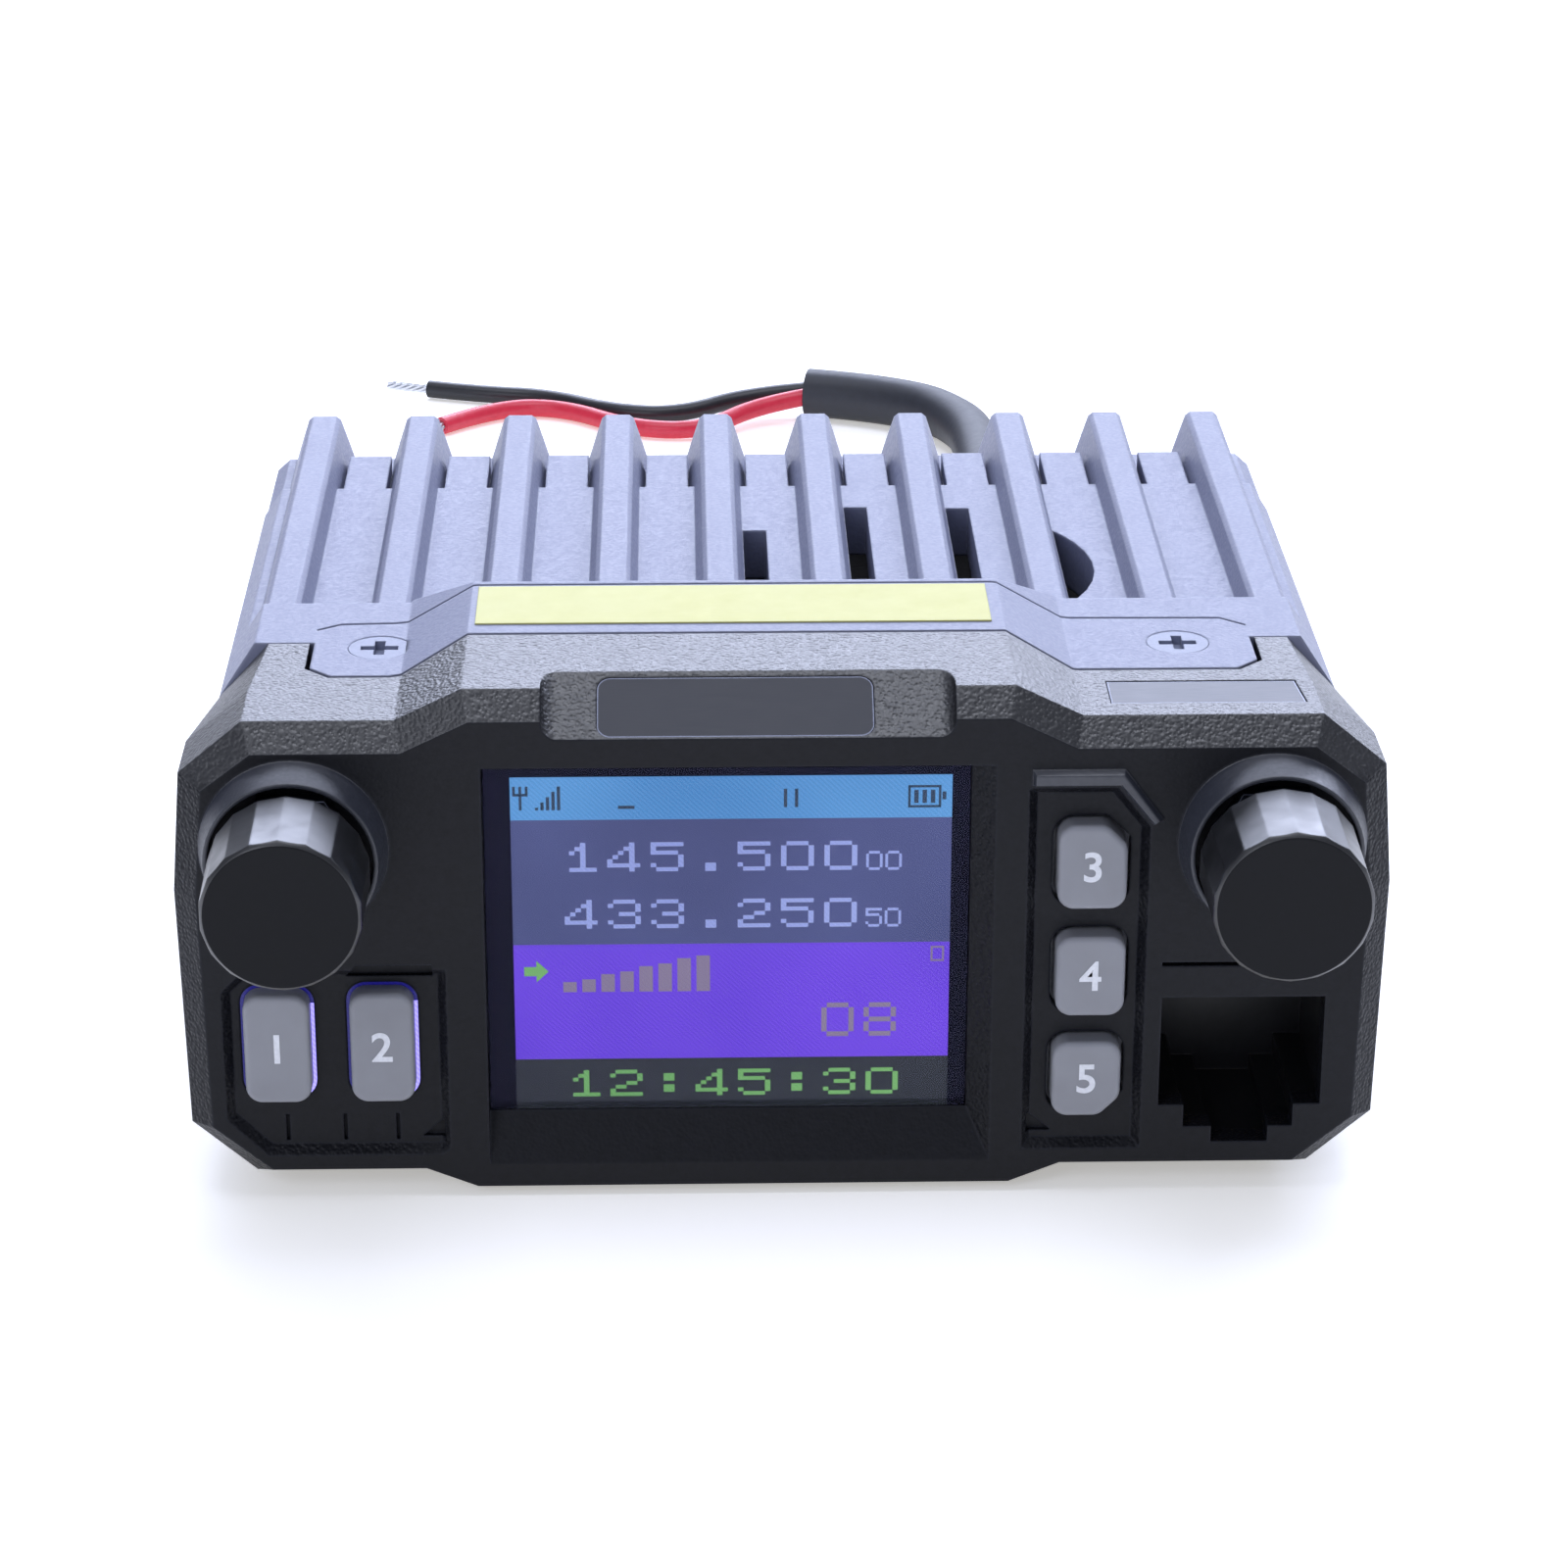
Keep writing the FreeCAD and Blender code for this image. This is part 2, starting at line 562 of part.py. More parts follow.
    label = new_body("blank_label")
    outline = sketch(label, "label_plan", "top", "hump_top")
    rectangle(outline, "-hump_left + 0.5", "hump_right - 1", "strip_front + 1.95", "strip_back - 1.3")
    pad(label, outline, "0.12")
    sub_part(label, "blank_label")


def brow_block(name, angle, grow, sink):
    """Round-cornered plate let into the sloping brow, grown all round and sunk below its face."""
    body = new_body(name)
    drawing = sketch(body, f"{name}_plan", "top", "0")
    rectangle(drawing, f"-10.98 - ({grow})", f"10.98 + ({grow})", f"-2.85 - ({grow})", f"2.85 + ({grow})")
    slab = pad(body, drawing, "1.2" if grow != "0" else "0.33")
    dress(body, "Fillet", slab, edges_of(slab, lambda edge, ends: along(edge, ends, UP)), f"1.1 + ({grow})")
    run = size("brow_back") / 2 - 0.15
    rise = (size("hump_top") + size("brow_low")) / 2 - 0.1
    lean = FreeCAD.Rotation(RIGHT, angle)
    spot = FreeCAD.Vector(-3.85, run, rise) + lean.multVec(FreeCAD.Vector(0, 0, -float(sink)))
    body.Placement = FreeCAD.Placement(spot, lean)
    bind(body, "Placement.Base.y", f"brow_back/2 - 0.15 + {run_back(angle, float(sink)):.4f}")
    return body


def run_back(angle, sink):
    return sink * math.sin(math.radians(angle))


# ---------------------------------------------------------------- heatsink case
def case_outline(drawing, top, edge_top, run):
    """Cross-section of the case with its sloping upper edges."""
    half = "case_width/2"
    return polygon(drawing, [
        (f"-{half}", "cover_thick"), (half, "cover_thick"), (half, edge_top),
        (f"{half} - {run}", top), (f"-{half} + {run}", top), (f"-{half}", edge_top),
    ])


def build_case():
    body = new_body("case_casting")
    deck = case_outline(sketch(body, "deck_section", "front", "panel_deep + seam"),
                        "deck_top", "side_edge", "3.1")
    pad(body, deck, "fin_front - panel_deep - seam + 0.01", reverse=True)
    floor = case_outline(sketch(body, "channel_section", "front", "fin_front"),
                         "channel_floor", "side_edge", "1.7")
    pad(body, floor, "rear_step - fin_front + 0.01", reverse=True)
    rear = case_outline(sketch(body, "rear_section", "front", "rear_step"),
                        "rear_floor", "side_edge - 0.6", "1.2")
    pad(body, rear, "body_back - rear_step", reverse=True)

    first_x = "-(fin_count - 1)/2*fin_pitch"
    fin = polygon(sketch(body, "fin", "front", "fin_front - 0.01"), [
        (f"{first_x} - fin_root/2", "rear_floor - 0.4"), (f"{first_x} + fin_root/2", "rear_floor - 0.4"),
        (f"{first_x} + fin_foot/2", "channel_floor"),
        (f"{first_x} + fin_top/2 + 0.12", "deck_top - 0.35"), (f"{first_x} + fin_top/2 - 0.3", "deck_top"),
        (f"{first_x} - fin_top/2 + 0.3", "deck_top"), (f"{first_x} - fin_top/2 - 0.12", "deck_top - 0.35"),
        (f"{first_x} - fin_foot/2", "channel_floor"),
    ])
    first_fin = pad(body, fin, "body_back - fin_front + 0.01", reverse=True)
    fins = body.newObject("PartDesign::LinearPattern", "fins")
    fins.Originals = [first_fin]
    fins.Direction = (fin, ["H_Axis"])
    bind(fins, "Length", "(fin_count - 1)*fin_pitch")
    bind(fins, "Occurrences", "fin_count")
    body.Tip = fins

    # narrow lands that carry the channel floors on past the step
    land = sketch(body, "land", "front", "rear_step - 0.01")
    rectangle(land, "(1 - fin_count/2)*fin_pitch - land_wide/2", "(1 - fin_count/2)*fin_pitch + land_wide/2",
              "rear_floor - 0.4", "channel_floor")
    first_land = pad(body, land, "land_back - rear_step + 0.01", reverse=True)
    lands = body.newObject("PartDesign::LinearPattern", "lands")
    lands.Originals = [first_land]
    lands.Direction = (land, ["H_Axis"])
    bind(lands, "Length", "(fin_count - 2)*fin_pitch")
    bind(lands, "Occurrences", "fin_count - 1")
    body.Tip = lands

    # tongue over the panel and the raised strip behind it
    outline = tongue_outline("0", "panel_deep + 1")
    outline += [
        ("hump_right + hump_slope", "panel_deep + 1"), ("hump_right + hump_slope", "fin_front + 0.4"),
        ("-hump_left - hump_slope", "fin_front + 0.4"), ("-hump_left - hump_slope", "panel_deep + 1"),
    ]
    tongue = polygon(sketch(body, "tongue", "top", "deck_top - tab_thick"), outline)
    pad(body, tongue, "tab_thick + hump_top - deck_top")
    for side, edge in ((-1, "-hump_left"), (1, "hump_right")):
        air = polygon(sketch(body, f"hump_air_{'left' if side < 0 else 'right'}", "front", "tab_front - 1"), [
            (f"{side}*case_width", "deck_top"), (f"{edge} + {side}*hump_slope", "deck_top"),
            (edge, "hump_top"), (edge, "hump_top + 2"), (f"{side}*case_width", "hump_top + 2"),
        ])
        pocket(body, air, "fin_front + 2 - tab_front")
    back_slope = polygon(sketch(body, "strip_slope", "side", "hump_right + hump_slope + 1"), [
        ("strip_back + 0.2", "hump_top"), ("fin_front + 0.6", "deck_top"),
        ("fin_front + 0.6", "hump_top + 1"), ("strip_back + 0.2", "hump_top + 1"),
    ])
    pocket(body, back_slope, "hump_left + hump_right + 2*hump_slope + 2")

    # line engraved behind the tabs and, between them, over the strip's slopes and along its rear edge
    path = [
        ("-tab_reach", "tab_screw_y + 3.9"), ("-tab_reach + 1.9", "tab_screw_y + 5.2"),
        ("-hump_left - hump_slope - 1", "tab_screw_y + 5.4"), ("-hump_left + 0.4", "strip_back - 0.8"),
        ("hump_right - 0.4", "strip_back - 0.8"), ("hump_right + hump_slope + 0.8", "tab_screw_y + 5.6"),
        ("tab_reach - 1.3", "tab_screw_y + 5.4"), ("tab_reach + 0.7", "tab_screw_y + 3.7"),
    ]
    line = polygon(sketch(body, "engraved_line", "top", "hump_top + 0.1"),
                   path + [(x, f"{y} + line_wide") for x, y in reversed(path)])
    pocket(body, line, "hump_top - deck_top + line_wide + 0.1")

    # inside: a high front bay for the panel's ears, then the main bay under the fins
    inner = "case_width/2 - case_wall"
    bay = polygon(sketch(body, "front_bay", "front", "panel_deep"), [
        (f"-({inner})", "cover_thick - 0.1"), (inner, "cover_thick - 0.1"), (inner, "ceiling"),
        (f"{inner} - 3.5", "deck_top - tab_thick"), (f"-({inner}) + 3.5", "deck_top - tab_thick"),
        (f"-({inner})", "ceiling"),
    ])
    pocket(body, bay, "ear_back + gap - panel_deep + 2")
    main = rectangle(sketch(body, "main_bay", "front", "ear_back"),
                     f"-({inner})", inner, "cover_thick - 0.1", "ceiling")
    pocket(body, main, "body_back - case_wall - ear_back")

    # posts for the main board, bosses for the cover and for the mounting bracket
    posts = sketch(body, "board_posts", "top", "main_board_z + board_thick")
    for x in ("-post_x", "post_x"):
        for y in ("post_front", "post_back"):
            circle(posts, x, y, "post_radius")
    pad(body, posts, "ceiling - main_board_z - board_thick + 0.1")
    pilots = sketch(body, "post_pilots", "top", "main_board_z + board_thick + 7")
    for x in ("-post_x", "post_x"):
        for y in ("post_front", "post_back"):
            circle(pilots, x, y, "1.1")
    pocket(body, pilots, "7")
    bosses = sketch(body, "cover_bosses", "top", "cover_thick")
    for x in ("-cover_screw_x", "cover_screw_x"):
        for y in ("cover_screw_front", "cover_screw_back"):
            circle(bosses, x, y, "2.6")
    pad(body, bosses, "9")
    threads = sketch(body, "cover_threads", "top", "cover_thick + 7")
    for x in ("-cover_screw_x", "cover_screw_x"):
        for y in ("cover_screw_front", "cover_screw_back"):
            circle(threads, x, y, "1.1")
    pocket(body, threads, "7")
    for side, word in ((-1, "left"), (1, "right")):
        boss = sketch(body, f"bracket_boss_{word}", "side", f"{side}*({inner} + 0.1)")
        hole = sketch(body, f"bracket_hole_{word}", "side", f"{side}*(case_width/2 + 0.1)")
        for y in ("bracket_front", "bracket_back"):
            circle(boss, y, "bracket_z", "bracket_boss")
            circle(hole, y, "bracket_z", "bracket_hole")
        pad(body, boss, "3.6", reverse=side > 0)
        pocket(body, hole, "case_wall + 3.7", reverse=side < 0)

    # slots over the speaker, as long as a circle allows; the fourth follows the circle's edge
    slots = sketch(body, "speaker_slots", "top", "channel_floor + 0.1")
    for channel in range(3):
        low = f"(({channel} - 0.5)*fin_pitch + fin_foot/2 + 0.05)"
        middle = f"({low} + slot_wide/2 - speaker_x)"
        half = f"sqrt(slot_radius*slot_radius - {middle}*{middle})"
        rectangle(slots, low, f"{low} + slot_wide", f"speaker_y - {half}", f"speaker_y + {half}")
    chord = "(2.5*fin_pitch + fin_foot/2 + 0.05 - speaker_x)"
    half = f"sqrt(slot_radius*slot_radius - {chord}*{chord})"
    polygon(slots, [
        (f"speaker_x + sqrt(slot_radius*slot_radius - {share}*{share}*{half}*{half})",
         f"speaker_y + {share}*{half}")
        for share in (-1, -0.85, -0.65, -0.4, -0.14, 0.14, 0.4, 0.65, 0.85, 1)
    ])
    pocket(body, slots, "channel_floor - ceiling + 0.3")

    # rear wall: fan opening with its screw holes, antenna socket, lead and phone jack
    rear_holes = sketch(body, "rear_holes", "front", "body_back - case_wall - 0.1")
    circle(rear_holes, "fan_x", "fan_z", "fan_bore")
    for dx in (-1, 1):
        for dz in (-1, 1):
            circle(rear_holes, f"fan_x + {dx}*fan_screw", f"fan_z + {dz}*fan_screw", "1.35")
    circle(rear_holes, "antenna_x", "antenna_z", "6.5")
    circle(rear_holes, "cable_x", "cable_z", "4.6")
    circle(rear_holes, "phone_x", "phone_z", "3.1")
    pocket(body, rear_holes, "case_wall + 0.2")

    # clearance and countersinks for the two top screws
    case = cut(body, *[
        fuse(rod(f"{side}*tab_screw_x", "tab_screw_y", "deck_top + 0.1", "1.35", "tab_thick + 0.6", "down"),
             cone(f"{side}*tab_screw_x", "tab_screw_y", "deck_top + 0.05", "2.72", "1.35", "1.37", "down"))
        for side in (-1, 1)
    ])
    sub_part(case, "heatsink_case")
    sub_part(group(*[
        screw(f"{side}*tab_screw_x", "tab_screw_y", "deck_top - 0.05", "2.6", "1.2", "6.2", "down", "flush")
        for side in (-1, 1)
    ]), "top_screws")


def build_cover():
    body = new_body("bottom_cover")
    plan = rectangle(sketch(body, "cover_plan", "top", "0"), "-case_width/2", "case_width/2",
                     "panel_deep + seam", "body_back")
    sheet = pad(body, plan, "cover_thick - 0.02")
    dress(body, "Fillet", sheet, edges_of(sheet, lambda edge, ends: along(edge, ends, UP)), "1.5")
    wells = sketch(body, "screw_wells", "top", "0")
    holes = sketch(body, "screw_holes", "top", "0")
    for x in ("-cover_screw_x", "cover_screw_x"):
        for y in ("cover_screw_front", "cover_screw_back"):
            circle(wells, x, y, "2.1")
            circle(holes, x, y, "1.25")
    pocket(body, wells, "0.95", reverse=True)
    pocket(body, holes, "cover_thick", reverse=True)
    vents = sketch(body, "vents", "top", "0")
    for number in range(7):
        rectangle(vents, f"-21 + {7 * number} - 0.9", f"-21 + {7 * number} + 0.9", "34", "56")
    pocket(body, vents, "cover_thick", reverse=True)
    sub_part(body, "bottom_cover")
    sub_part(group(*[
        screw(x, y, "0.95", "1.6", "1.08", "5.5", "up")
        for x in ("-cover_screw_x", "cover_screw_x") for y in ("cover_screw_front", "cover_screw_back")
    ]), "cover_screws")


# ---------------------------------------------------------------- knobs and their controls
def build_knob(name, side, control):
    x = f"{side}*knob_x"
    body = new_body(f"{name}_knob")
    grip = sketch(body, f"{name}_grip", "front", "-knob_out + knob_long")
    facets = 18
    polygon(grip, [
        (f"{x} + knob_radius*cos({360 * k / facets + 10})",
         f"knob_z + knob_radius*sin({360 * k / facets + 10})")
        for k in range(facets)
    ])
    pad(body, grip, "knob_long", taper="-0.8")
    skirt = circle(sketch(body, f"{name}_skirt", "front", "-knob_out + knob_long + 1.0"), x, "knob_z",
                   "knob_radius - knob_step")
    pad(body, skirt, "1.1")
    bore = circle(sketch(body, f"{name}_bore", "front", "-knob_out + knob_long + 1.1"), x, "knob_z",
                  "shaft_radius + press")
    pocket(body, bore, "knob_long - 0.6", reverse=True)
    edge = sketch(body, f"{name}_edge", "side", x)
    polygon(edge, [
        ("-knob_out", "knob_z + knob_radius - knob_turned"),
        ("-knob_out - 0.5", "knob_z + knob_radius - knob_turned"),
        ("-knob_out - 0.5", "knob_z + knob_radius + 0.6"),
        ("-knob_out + 0.7", "knob_z + knob_radius + 0.6"),
        ("-knob_out + 0.35", "knob_z + knob_radius - 0.12"),
    ])
    axis = sketch(body, f"{name}_axis", "side", x)
    axis.addGeometry(Part.LineSegment(FreeCAD.Vector(0, 5, 0), FreeCAD.Vector(10, 5, 0)), False)
    axis.addConstraint([
        Sketcher.Constraint("Horizontal", 0),
        Sketcher.Constraint("DistanceX", -1, 1, 0, 1, 0),
        Sketcher.Constraint("DistanceX", 0, 1, 0, 2, 10),
        Sketcher.Constraint("DistanceY", -1, 1, 0, 1, 5),
    ])
    bind(axis, "Constraints[3]", "knob_z")
    doc.recompute()
    before = body.Shape.Volume
    turn = body.newObject("PartDesign::Groove", f"{name}_turned_edge")
    turn.Profile = edge
    turn.ReferenceAxis = (axis, ["Edge1"])
    turn.Angle = 360
    body.Tip = turn
    doc.recompute()
    if not body.Shape.Volume < before:
        raise RuntimeError(f"{name} knob's edge is not turned")
    sub_part(body, f"{name}_knob")

    sub_part(rod(x, "-knob_out + 1.9", "knob_z", "shaft_radius", "knob_out + 1.1"), f"{name}_shaft")
    half = "pot_side/2"
    control_body = cut(
        fuse(box(f"{x} - {half}", f"{x} + {half}", "panel_wall + seam", "front_board_y - 0.02",
                 f"knob_z - {half}", f"knob_z + {half}"),
             rod(x, "-2.3", "knob_z", "bush_radius", "panel_wall + 2.6")),
        rod(x, "-2.4", "knob_z", "shaft_radius + running", "6"))
    sub_part(control_body, f"{name}_{control}")
    nut = cut(hexagon(x, "-1.75", "knob_z", "9.6", "1.7"),
              rod(x, "-1.85", "knob_z", "bush_radius + press", "1.9"))
    sub_part(nut, f"{name}_nut")


# ---------------------------------------------------------------- keys
def build_keys():
    switches = []
    for name, (x0, x1, z0, z1, corner) in KEYS.items():
        body = new_body(name)
        cap = polygon(sketch(body, f"{name}_cap", "front", "panel_wall + seam + 0.1"),
                      key_outline(x0, x1, z0, z1, corner, "0"))
        block = pad(body, cap, "panel_wall + seam + 0.1 + key_proud")
        upright = edges_of(block, lambda edge, ends: along(edge, ends, BACK))
        rounded = dress(body, "Fillet", block, upright, "key_round")
        front = -size("key_proud")

        def front_rim(edge, ends):
            return all(abs(point.y - front) < 1e-4 for point in ends) and len(ends) > 1

        dress(body, "Fillet", rounded, edges_of(rounded, front_rim), "0.45")
        flange = rectangle(sketch(body, f"{name}_flange", "front", "panel_wall + seam"), f"{x0} - key_flange",
                           f"{x1} + key_flange", f"{z0} - key_flange", f"{z1} + key_flange")
        pad(body, flange, "0.8", reverse=True)
        middle_x, middle_z = (x0 + x1) / 2, (z0 + z1) / 2
        stem = circle(sketch(body, f"{name}_stem", "front", "panel_wall + seam + 0.7"),
                      f"{middle_x}", f"{middle_z}", "stem_radius")
        pad(body, stem, "1.75", reverse=True)
        sub_part(body, name)
        front_face = "panel_wall + seam + 0.8 + key_travel + 0.2"
        switches.append(cut(
            box(f"{middle_x} - 2.2", f"{middle_x} + 2.2", front_face, "front_board_y - 0.02",
                f"{middle_z} - 2.2", f"{middle_z} + 2.2"),
            rod(f"{middle_x}", f"{front_face} - 0.1", f"{middle_z}", "stem_radius + running",
                "front_board_y - panel_wall - seam - 2.1")))
    sub_part(group(*switches), "key_switches")
    sub_part(group(*[
        box(f"{x} - 0.8", f"{x} + 0.8", "front_board_y - 0.9", "front_board_y - 0.02",
            f"{z} - 0.5", f"{z} + 0.5")
        for x, z in ((-36.85, 11.5), (-28.4, 14.0), (24.7, 24.6), (24.7, 15.1))
    ]), "key_lamps")


# ---------------------------------------------------------------- display and front board
def build_display():
    glass = box("-glass_left", "glass_right", "glass_y", "glass_y + glass_thick", "glass_low", "glass_top")
    sub_part(glass, "display_window")
    front = "glass_y + glass_thick + 0.05"
    module = box("-glass_left - lcd_margin", "glass_right + lcd_margin", front, f"{front} + lcd_thick - 0.1",
                 "glass_low - lcd_margin", "glass_top + lcd_margin")
    sub_part(module, "display_module")
    body = new_body("front_board")
    half = "overall_width/2 - panel_side - 0.7"
    outline = polygon(sketch(body, "front_board_plan", "front", "front_board_y"), [
        (f"-({half}) + 4.4", "side_foot + panel_floor + 0.9"),
        ("jack_left - 1.9", "side_foot + panel_floor + 0.9"),
        ("jack_left - 1.9", "jack_top + 2"), (half, "jack_top + 2"), (half, "cheek_top - 2.5"),
        (f"{half} - 4.2", "deck_top - panel_wall - 0.7"), (f"-({half}) + 4.2", "deck_top - panel_wall - 0.7"),
        (f"-({half})", "cheek_top - 2.5"), (f"-({half})", "side_foot + panel_floor + 5"),
    ])
    pad(body, outline, "board_thick", reverse=True)
    holes = sketch(body, "front_board_holes", "front", "front_board_y - 0.1")
    for x, z in BOARD_BOSSES:
        circle(holes, f"{x}", f"{z}", "1.05")
    pocket(body, holes, "board_thick + 0.2")
    sub_part(body, "front_board")
    sub_part(group(*[
        screw(f"{x}", "front_board_y + board_thick + 0.02", f"{z}", "1.7", "0.83", "4.8", "front")
        for x, z in BOARD_BOSSES
    ]), "front_board_screws")


# ---------------------------------------------------------------- microphone socket
def build_mic_socket():
    body = new_body("mic_socket")
    shell = polygon(sketch(body, "mic_shell", "front", "panel_wall + 0.05"), jack_outline("jack_wall"))
    pad(body, shell, "jack_deep", reverse=True)
    cavity = polygon(sketch(body, "mic_cavity", "front", "panel_wall"), jack_outline("0.1"))
    pocket(body, cavity, "jack_deep - 1.2")
    sub_part(body, "mic_socket")
    contacts = []
    pitch, wire = 1.02, 0.22
    for number in range(8):
        x = f"((jack_left + jack_right)/2 + {(number - 3.5) * pitch:.3f})"
        contact = new_body(f"mic_contact_{number + 1}")
        side = polygon(sketch(contact, f"mic_contact_{number + 1}_side", "side", f"{x} - {wire}"), [
            ("panel_wall + 0.6", "jack_top - 0.05"), ("panel_wall + 0.6", "jack_top - 0.75"),
            ("panel_wall + 1.3", "jack_top - 0.75"), ("panel_wall + 8.6", "jack_top - 4.4"),
            ("panel_wall + 8.9", "jack_top - 3.9"), ("panel_wall + 1.6", "jack_top - 0.05"),
        ])
        pad(contact, side, f"{2 * wire}")
        contacts.append(contact)
    sub_part(group(*contacts), "mic_contacts")


# ---------------------------------------------------------------- main board and what it carries
def build_main_board():
    body = new_body("main_board")
    plan = rectangle(sketch(body, "main_board_plan", "top", "main_board_z"),
                     "-main_board_half", "main_board_half", "main_board_front", "main_board_back")
    pad(body, plan, "board_thick - 0.02")
    holes = sketch(body, "main_board_holes", "top", "main_board_z - 0.1")
    for x in ("-post_x", "post_x"):
        for y in ("post_front", "post_back"):
            circle(holes, x, y, "1.25")
    pocket(body, holes, "board_thick + 0.2", reverse=True)
    sub_part(body, "main_board")
    sub_part(group(*[
        screw(x, y, "main_board_z - 0.02", "2.1", "1.08", "7", "up")
        for x in ("-post_x", "post_x") for y in ("post_front", "post_back")
    ]), "main_board_screws")
    top = "main_board_z + board_thick"
    sub_part(cut(box("-30", "-2", "30", "54", top, f"{top} + 5.5"),
                 box("-29.6", "-2.4", "30.4", "53.6", f"{top} - 0.1", f"{top} + 5.1")), "shield_can")
    sub_part(group(
        fuse(box("-31.5", "-25.5", "57", "63", top, f"{top} + 1.2"),
             box("-30.5", "-26.5", "57.6", "62.4", top, f"{top} + 3.4")),
        fuse(box("-21.5", "-15.5", "57", "63", top, f"{top} + 1.2"),
             box("-20.5", "-16.5", "57.6", "62.4", top, f"{top} + 3.4")),
    ), "power_transistors")
    sub_part(group(*[ring(f"{x}", "36", f"{top} + 2.9", "2.1", "0.75") for x in (6, 13, 20)]), "filter_coils")
    sub_part(group(*[rod(f"{x}", "56", top, "4", "11", "up") for x in (20, 29.4)]), "supply_capacitors")
    sub_part(group(box("25", "37.4", "40", "47", top, f"{top} + 4"),
                   box("-8", "8", "22.4", "26.4", top, f"{top} + 2.2"),
                   ), "board_connectors")

    ribbon = new_body("ribbon_cable")
    start, end = "front_board_y + board_thick", "22.3"
    side = polygon(sketch(ribbon, "ribbon_side", "side", "-6.5"), [
        (start, "16.0"), (start, "14.6"), (f"{start} + 2.2", "14.6"), (f"{start} + 6", f"{top} + 1.3"),
        (end, f"{top} + 1.0"), (end, f"{top} + 1.35"), (f"{start} + 6.2", f"{top} + 1.65"),
        (f"{start} + 2.4", "14.95"), (f"{start} + 0.4", "14.95"), (f"{start} + 0.4", "16.0"),
    ])
    pad(ribbon, side, "13")
    sub_part(ribbon, "ribbon_cable")


# ---------------------------------------------------------------- speaker
def build_speaker():
    base = "ceiling - speaker_tall"
    x, y = "speaker_x", "speaker_y"
    frame = cut(
        fuse(rod(x, y, "ceiling - 1.0", "speaker_radius", "0.98", "up"),
             cone(x, y, base, "9", "speaker_radius - 1", "speaker_tall - 0.9", "up")),
        cone(x, y, f"{base} + 0.8", "8.4", "speaker_radius - 1.6", "speaker_tall - 0.75", "up"),
        rod(x, y, f"{base} - 0.1", "5.6", "2", "up"))
    sub_part(frame, "speaker_frame")
    sub_part(rod(x, y, f"{base} - 3.2", "8.2", "3.18", "up"), "speaker_magnet")
    cone_sheet = cut(
        cone(x, y, f"{base} + 1.3", "5.2", "speaker_radius - 3.3", "speaker_tall - 1.9", "up"),
        cone(x, y, f"{base} + 1.6", "4.9", "speaker_radius - 3.6", "speaker_tall - 1.85", "up"))
    sub_part(cone_sheet, "speaker_cone")


